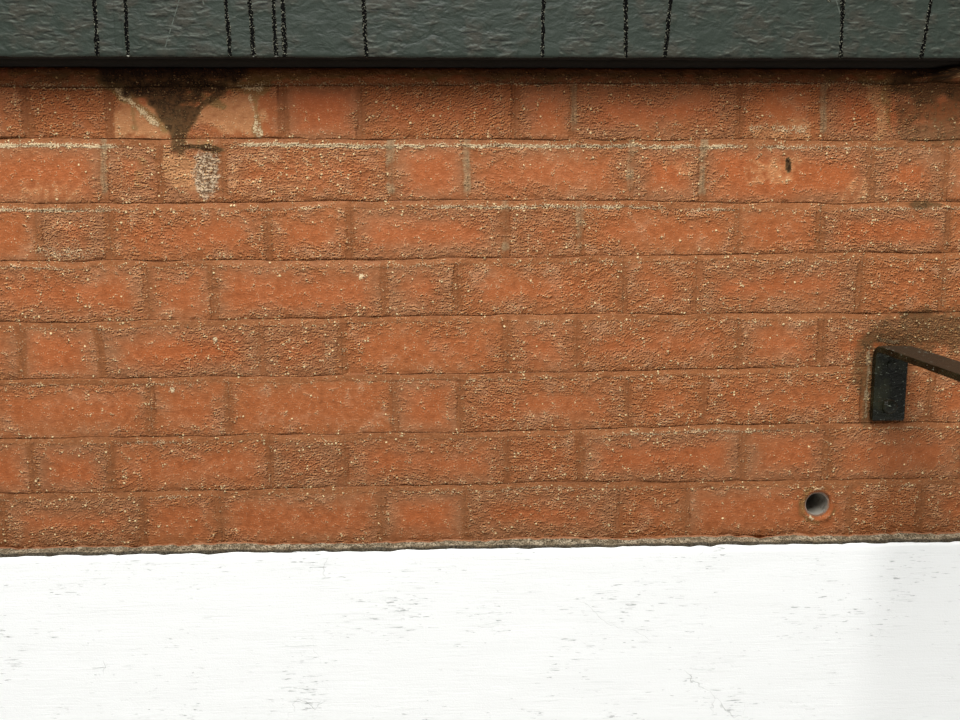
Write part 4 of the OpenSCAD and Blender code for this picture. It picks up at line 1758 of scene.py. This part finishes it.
    def dress(self, finishes: Finishes) -> None:
        """Build the stones, the joints and the runs.

        Args:
            finishes: Materials of the wall.
        """
        for number in range(1, self.count + 1):
            low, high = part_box(f"coping_stone_{number}")
            pitch = self.near_pitch if number == self.near_stone else self.far_pitch
            shell = self.bar(low.x, high.x, 0.0, pitch)
            name = f"coping_stone_{number}"
            shell.piece(f"{name}_painted", Slot.STONE, finishes.coping, name)
        for number in range(1, self.count):
            low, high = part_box(f"coping_joint_{number}")
            shell = self.bar(low.x, high.x, self.joint_skin, self.joint_pitch)
            name = f"coping_joint_{number}"
            shell.piece(f"{name}_mortar", Slot.STONE_JOINT, finishes.coping, name)
        shell = Shell()
        rng = np.random.default_rng(8)
        for number, (top, foot, reach, front, pale) in enumerate(self.all_runs()):
            points = self.run(number, top, foot, reach, front, pale)
            back = points + (0, self.run_thick if front else -self.run_thick, 0)
            loop = np.concatenate([points, back[:, ::-1]], axis=1)
            rim = np.abs(np.linspace(-1, 1, points.shape[1]))
            tip = rng.uniform(0.3, 1.0) * smooth(0.95, 0.98, np.linspace(0, 1, len(points)))[:, None]
            shell.tube(loop[:, ::-1], {"rim": np.tile(rim, 2), "tip": tip, "pale": float(pale)})
        shell.piece("coping_drip_runs", Slot.STONE, finishes.pitch)


@dataclass
class Plinth:
    """The white render round the plinth, and the cement fillet on its top."""

    bond: Bond
    near_pitch: float = 8 * MM
    far_pitch: float = 20 * MM
    near_grit: float = 3.2 * MM
    far_grit: float = 9 * MM
    end_grit: float = 10 * MM
    # The finely built stretch: X of its middle, half its length, and the length of its fade
    near: tuple[float, float, float] = (-0.08, 0.74, 0.25)
    lip: float = 5 * MM
    skin: float = 1.0 * MM
    # Rows of points up the coat: coarse to a height, and fine above it
    foot_row: float = 6 * MM
    fine_from: float = 0.45
    coarse_rows: int = 22
    fine_rows: int = 38

    def render(self, finishes: Finishes) -> None:
        """Build the coat as one ring with rounded corners and a rounded upper edge.

        Formula: the outward distance is the coat's thickness less a skin of trowel marks, and
        near the top it draws in on a quarter circle.

        Args:
            finishes: Materials of the wall.
        """
        low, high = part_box("render_front")
        thick = -self.bond.depth / 2 - low.y
        pitch = stretch(self.near_pitch, self.far_pitch, *self.near)
        x, y, ox, oy = wall_ring(self.bond.length, self.bond.depth, pitch, self.far_pitch, 7)
        coarse = np.linspace(self.foot_row, self.fine_from, self.coarse_rows)
        fine = np.linspace(self.fine_from, high.z - self.lip, self.fine_rows)
        levels = np.concatenate([[0.0], coarse, fine[1:]])
        turn = np.radians(np.array([25.0, 50.0, 75.0]))
        inner = [thick - self.lip, thick * 0.62, thick * 0.4, thick * 0.2, 0.0]
        lip_z, lip_out = high.z - self.lip + self.lip * np.sin(turn), thick - self.lip * (1 - np.cos(turn))
        z = np.concatenate([levels, lip_z, np.full(len(inner), high.z)])[:, None]
        out = np.concatenate([np.full(len(levels), thick), lip_out, inner])[:, None]
        px, py = x + ox * thick, y + oy * thick
        drags = fractal(px / 5, py / 5, z, 13 * MM, 122, 2) * 0.45 * MM
        trowel = fractal(px, py, z, 0.11, 121) * 0.8 * MM + drags
        ragged = (noise(px, py, 0.0, 14 * MM, 123) + noise(px, py, 0.0, 5 * MM, 124)) * 0.7 * MM
        shown = np.minimum(out / (0.5 * thick), 1.0)
        reach = np.minimum(out - (self.skin + trowel) * shown, thick - 0.05 * MM)
        lift = z - smooth(high.z - 12 * MM, high.z, z) * (1.1 * MM + ragged * shown)
        lift = np.minimum(lift, high.z - 0.05 * MM)
        lift[0] = 0.0
        points = np.stack([x + ox * reach, y + oy * reach, lift], axis=-1)
        foot = points[:1].copy()
        foot[..., 0], foot[..., 1] = x, y
        shell = Shell()
        shell.grid(np.concatenate([foot, points]), close_rows=True, close_columns=True)
        shell.piece("plinth_render_coat", Slot.RENDER, finishes.render, "render_front", "render_back",
                    "render_left_end", "render_right_end")

    def fillet(self, finishes: Finishes) -> None:
        """Build the fillet as a ring of lumpy cement.

        Formula: its section rises from the nose to the brickwork in a shallow curve; clots of
        noise lift it and make its two edges wander.

        Args:
            finishes: Materials of the wall.
        """
        low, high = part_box("fillet_front")
        wide, tall = high.y - low.y, high.z - low.z
        pitch = stretch(self.near_grit, self.far_grit, *self.near)
        x, y, ox, oy = wall_ring(self.bond.length, self.bond.depth, pitch, self.end_grit, 3)
        share = np.array([0.0, 0.0, 0.1, 0.25, 0.42, 0.6, 0.78, 0.92, 1.0, 1.06])[:, None]
        px, py = x + ox * wide, y + oy * wide
        clots = fractal(px, py, share * wide, 12 * MM, 131, 3)
        lumps = fractal(px, py, share * wide, 5 * MM, 132, 2)
        nose = 2.2 * MM + 1.4 * MM * noise(px, py, 0.0, 30 * MM, 133)
        heel = 5.2 * MM + 2.6 * MM * noise(px, py, 0.0, 45 * MM, 134)
        heel = heel + 1.4 * MM * noise(px, py, 0.0, 11 * MM, 135)
        rise = nose + (heel - nose) * share**1.4 + (clots * 1.5 + lumps * 0.9) * MM
        rise[0] = -3 * MM
        rise = np.minimum(rise, tall - 0.1 * MM)
        edge = wide - 2.0 * MM * (1 + noise(px, py, 0.0, 16 * MM, 136)) - 0.8 * MM
        reach = edge * (1 - share)
        z = low.z + np.maximum(rise, np.where(share > 0, 0.4 * MM, -9 * MM))
        points = np.stack([x + ox * reach, y + oy * reach, z], axis=-1)
        under = points[-1:].copy()
        under[..., 2] = low.z - 3 * MM
        values = {
            "slop": np.concatenate([smooth(0.62, 1.0, share), [[1.0]]]),
            "nose": np.concatenate([1 - np.minimum(share, 1.0), [[0.0]]]),
        }
        shell = Shell()
        shell.grid(np.concatenate([points, under]), values, close_rows=True, close_columns=True)
        shell.piece("plinth_cement_fillet", Slot.FILLET, finishes.cement, "fillet_front", "fillet_back",
                    "fillet_left_end", "fillet_right_end")

    def dress(self, finishes: Finishes) -> None:
        """Build the render and the fillet, and dress the masonry inside.

        Args:
            finishes: Materials of the wall.
        """
        self.render(finishes)
        self.fillet(finishes)
        repaint("plinth_masonry", finishes.core)


@dataclass
class Stay:
    """The flat iron stay: foot, bend, arm and eye under thick paint, with its two bolts."""

    width: float = 48 * MM
    thick: float = 10 * MM
    bend_r: float = 6 * MM
    fall: float = math.radians(6)
    foot_h: float = 110 * MM
    hole_r: float = 6.5 * MM
    eye_fullness: float = 1.08
    edge_r: float = 1.8 * MM
    pitch: float = 4 * MM
    # How far short of the eye's outline the bar's end stays hidden in the ring
    bar_short: float = 9 * MM
    # The bolts: name, height over the foot's lower end, radius and height of the head, seed
    bolts: tuple[tuple[str, float, float, float, int], ...] = (
        ("lower", 21 * MM, 11 * MM, 6 * MM, 151), ("upper", 82 * MM, 6.5 * MM, 1.4 * MM, 152),
    )

    def __post_init__(self) -> None:
        """Find the stay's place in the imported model."""
        low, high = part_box("wall_stay")
        self.x = (low.x + high.x) / 2
        self.face_y = high.y - self.thick
        self.foot_z = high.z - self.foot_h
        self.mid_r = self.bend_r + self.thick / 2
        outer_r = self.bend_r + self.thick
        self.centre = np.array([self.face_y - self.bend_r, high.z - outer_r])
        sin, cos = math.sin(self.fall), math.cos(self.fall)
        self.onward, self.upward = np.array([-cos, -sin]), np.array([-sin, cos])
        self.arm = (high.y - low.y - self.thick - self.bend_r - outer_r * sin) / cos
        self.eye_r = self.eye_fullness * self.width / 2

    def paint_lumps(self, x: Array, y: Array, z: Array) -> Array:
        """Depth of the lumpy paint behind the iron's true outline: two sizes of noise, never proud."""
        lumps = fractal(x, y, z, 16 * MM, 141) * 0.35 * MM + fractal(x, y, z, 5 * MM, 142, 2) * 0.25 * MM
        return np.maximum(0.35 * MM + lumps, 0.03 * MM)

    def section(self) -> Array:
        """Rounded rectangle across the bar, with its outward directions.

        Returns:
            Four rows: across, up, and the direction across and up, at each point.
        """
        flat, side = np.linspace(-1, 1, 13)[1:-1], np.linspace(-1, 1, 4)[1:-1]
        r = self.edge_r
        inner_w, inner_t = self.width / 2 - r, self.thick / 2 - r
        parts = []
        for number, (sx, sz) in enumerate(((1, 1), (-1, 1), (-1, -1), (1, -1))):
            turn = np.radians(90 * number + np.linspace(0, 90, 4))
            nx, nz = np.cos(turn), np.sin(turn)
            parts.append(np.stack([sx * inner_w + r * nx, sz * inner_t + r * nz, nx, nz]))
            run = -sx * flat if number % 2 == 0 else -sz * side
            spread = np.ones(len(run))
            if number % 2 == 0:
                edge = [inner_w * run, sz * self.thick / 2 * spread, 0 * spread, sz * spread]
            else:
                edge = [sx * self.width / 2 * spread, inner_t * run, sx * spread, 0 * spread]
            parts.append(np.stack(edge))
        return np.concatenate(parts, axis=1)

    def bar(self) -> Shell:
        """Foot, bend and arm as one sweep.

        Formula: the middle line runs up the wall, turns about the bend's centre by 90 degrees
        plus the fall, and runs out level with that fall; the section is laid off square to it.

        Returns:
            The closed shell.
        """
        foot = np.arange(self.foot_z, self.centre[1], self.pitch)
        turn = np.linspace(0, math.pi / 2 + self.fall, 12)
        round_bend = np.stack([np.cos(turn), np.sin(turn)], axis=-1)
        arm = np.arange(self.pitch, self.arm - self.eye_r - self.bar_short, self.pitch * 1.2)
        line = np.concatenate([
            np.stack([np.full(len(foot), self.centre[0] + self.mid_r), foot], axis=-1),
            self.centre + self.mid_r * round_bend,
            self.centre + self.mid_r * self.upward + arm[:, None] * self.onward,
        ])
        upright, level = np.tile([1.0, 0.0], (len(foot), 1)), np.tile(self.upward, (len(arm), 1))
        out_y, out_z = np.concatenate([upright, round_bend, level]).T[:, :, None]
        across, up, nx, nz = self.section()
        y, z = line[:, :1] + out_y * up, line[:, 1:] + out_z * up
        x = np.broadcast_to(self.x + across, y.shape)
        depth = self.paint_lumps(x, y, z)
        depth[0] += 1.2 * MM
        points = np.stack([x - nx * depth, y - out_y * nz * depth, z - out_z * nz * depth], axis=-1)
        shell = Shell()
        shell.tube(points)
        return shell

    def eye(self, shell: Shell) -> None:
        """Forge the eye onto the arm: a ring of rounded section about the hole.

        Formula: the outer radius swells from half the bar's width to the eye's reach along the
        arm with the square of the cosine.

        Args:
            shell: Shell that the ring is added to.
        """
        turn = np.linspace(0, 2 * math.pi, 73)[:-1][:, None]
        outer = self.width / 2 + (self.eye_r - self.width / 2) * np.maximum(np.cos(turn), 0) ** 2 - 0.15 * MM
        half_t, r = self.thick / 2 - 0.05 * MM, self.edge_r * 0.7
        flat = np.linspace(0, 1, 7)[1:-1]
        corner = np.radians(np.linspace(0, 90, 4))
        sin, cos = np.sin(corner), np.cos(corner)
        share = np.concatenate([flat, np.ones(8), flat[::-1], np.zeros(8)])
        tip = r * np.concatenate([0 * flat, sin - 1, cos - 1])
        rise = np.concatenate([np.full(len(flat), half_t), half_t - r + r * cos, r - half_t - r * sin])
        tip, rise = np.concatenate([tip, -tip]), np.concatenate([rise, -rise])
        radius = self.hole_r + share * (outer - self.hole_r) + tip
        out = self.arm - self.eye_r + radius * np.cos(turn)
        lift = self.mid_r + rise
        y, z = (self.centre[n] + out * self.onward[n] + lift * self.upward[n] for n in (0, 1))
        points = np.stack([self.x + radius * np.sin(turn), y, z], axis=-1)
        shell.grid(points, close_rows=True, close_columns=True)

    def bolt(self, z: float, radius: float, height: float, seed: int) -> Shell:
        """A mushroom bolt head on the foot.

        Formula: the height over the radius r is h (1 - (r / R) squared) to the power 0.55, with
        a straight rim and paint lumps.

        Args:
            z: Height of its middle.
            radius: Radius of the head.
            height: Height of the head.
            seed: Number of its lumps.

        Returns:
            The closed shell.
        """
        turn = np.linspace(0, 2 * math.pi, 37)[:-1]
        share = np.concatenate([[1.0, 1.0], np.cos(np.linspace(0.12, math.pi / 2 - 0.02, 12))])[:, None]
        dome = 0.6 * MM + height * np.sin(np.linspace(0.12, math.pi / 2, 12)) ** 1.1
        rise = np.concatenate([[-1.5 * MM, 0.6 * MM], dome])[:, None]
        x = self.x + radius * share * np.cos(turn)
        up = z + radius * share * np.sin(turn)
        y = self.face_y - rise * (1 + 0.06 * noise(x, up, rise, 5 * MM, seed))
        shell = Shell()
        shell.tube(np.stack([x, y, up], axis=-1)[:, ::-1])
        return shell

    def dress(self, finishes: Finishes) -> None:
        """Build the bar with its eye, and the bolts.

        Args:
            finishes: Materials of the wall.
        """
        shell = self.bar()
        self.eye(shell)
        shell.piece("stay_bar_painted", Slot.IRON, finishes.iron, "wall_stay")
        for name, over, radius, height, seed in self.bolts:
            head = self.bolt(self.foot_z + over, radius, height, seed)
            head.piece(f"stay_bolt_{name}", Slot.IRON, finishes.iron)


@dataclass(frozen=True)
class Studio:
    """Pale floor, soft light and the camera at the photograph's place."""

    eye: tuple[float, float, float] = (-0.1195, -1.1332, 1.13975)
    yaw: float = math.radians(1.50)
    pitch: float = math.radians(6.50)
    roll: float = math.radians(-0.33)
    focal_px: float = 725.0
    image_px: float = 960.0
    sensor: float = 36.0
    world: float = 0.30
    # Lights: name, place, what it points at, side of the square, power in watts
    lights: tuple[tuple[str, tuple[float, ...], tuple[float, ...], float, float], ...] = (
        ("key_light", (-0.45, -2.3, 4.7), (0.0, -0.1, 1.0), 2.4, 248.0),
        ("back_light", (1.4, 2.9, 4.2), (0.0, 0.1, 0.9), 2.2, 150.0),
    )
    floor_half: float = 40.0
    floor_white: tuple[float, float, float, float] = (0.66, 0.66, 0.64, 1.0)
    # Far out the floor glows like the world, from the first distance to the second
    floor_fade: tuple[float, float] = (3.0, 14.0)

    def camera(self) -> None:
        """Set the camera up.

        Formula: the view direction is yawed to the right and pitched down, and the picture's
        right and up directions are rolled about it.
        """
        level = Vector((math.cos(self.yaw), -math.sin(self.yaw), 0))
        ahead = Vector((math.sin(self.yaw), math.cos(self.yaw), 0)) * math.cos(self.pitch)
        forward = ahead - Vector((0, 0, math.sin(self.pitch)))
        over = level.cross(forward)
        right = level * math.cos(self.roll) + over * math.sin(self.roll)
        up = over * math.cos(self.roll) - level * math.sin(self.roll)
        data = bpy.data.cameras.new("camera")
        data.sensor_width = self.sensor
        data.lens = self.sensor * self.focal_px / self.image_px
        data.clip_start = 0.01
        camera = put("camera", data)
        turned = Matrix((right, up, -forward)).transposed().to_4x4()
        camera.matrix_world = Matrix.Translation(self.eye) @ turned
        bpy.context.scene.camera = camera

    def light(
        self, name: str, place: tuple[float, ...], aim: tuple[float, ...], size: float, power: float
    ) -> None:
        """Add a square soft light.

        Args:
            name: Name of the light.
            place: Where it stands.
            aim: Where it points.
            size: Side of the square.
            power: Power in watts.
        """
        data = bpy.data.lights.new(name, "AREA")
        data.size = size
        data.energy = power
        lamp = put(name, data)
        lamp.location = place
        lamp.rotation_euler = (Vector(aim) - Vector(place)).to_track_quat("-Z", "Y").to_euler()

    def floor(self) -> None:
        """Lay the floor, which fades into the world's light far out so that no horizon shows."""
        half = self.floor_half
        mesh = bpy.data.meshes.new("floor")
        corners = [(-half, -half, 0), (half, -half, 0), (half, half, 0), (-half, half, 0)]
        mesh.from_pydata(corners, [], [(0, 1, 2, 3)])
        g = Graph("pale_floor", (0, 0, 0))
        distant = g.step(g.vector("LENGTH", g.place), *self.floor_fade)
        g.fill(g.shader, {
            "Base Color": g.blend(distant, self.floor_white, g.colour), "Roughness": 1.0,
            "Specular IOR Level": 0.0, "Emission Color": (1.0, 1.0, 1.0, 1.0),
            "Emission Strength": g.times(distant, self.world),
        })
        mesh.materials.append(g.material)
        floor = put("floor", mesh)

    def build(self) -> None:
        """Set up the camera, the lights, the world, the colour management and the floor."""
        self.camera()
        for lamp in self.lights:
            self.light(*lamp)
        world = bpy.data.worlds.new("studio")
        world.use_nodes = True
        world.node_tree.nodes["Background"].inputs[0].default_value = (1.0, 1.0, 1.0, 1.0)
        world.node_tree.nodes["Background"].inputs[1].default_value = self.world
        bpy.context.scene.world = world
        bpy.context.scene.view_settings.view_transform = "Standard"
        bpy.context.scene.view_settings.look = "None"
        self.floor()


def main() -> None:
    """Build the wall, piece by piece."""
    logging.basicConfig(level=logging.INFO, format="%(name)s %(message)s")
    Studio().build()
    finishes = Finishes()
    bond = Bond()
    weather = Weathering()
    Brickwork(bond, weather).dress(finishes)
    CopingBed(bond, weather).dress(finishes)
    Coping().dress(finishes)
    Plinth(bond).dress(finishes)
    Stay().dress(finishes)
    repaint("weep_pipe", finishes.pipe)
    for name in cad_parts:
        log.info("node %s rides on the wall", name)


if __name__ == "__main__":
    main()
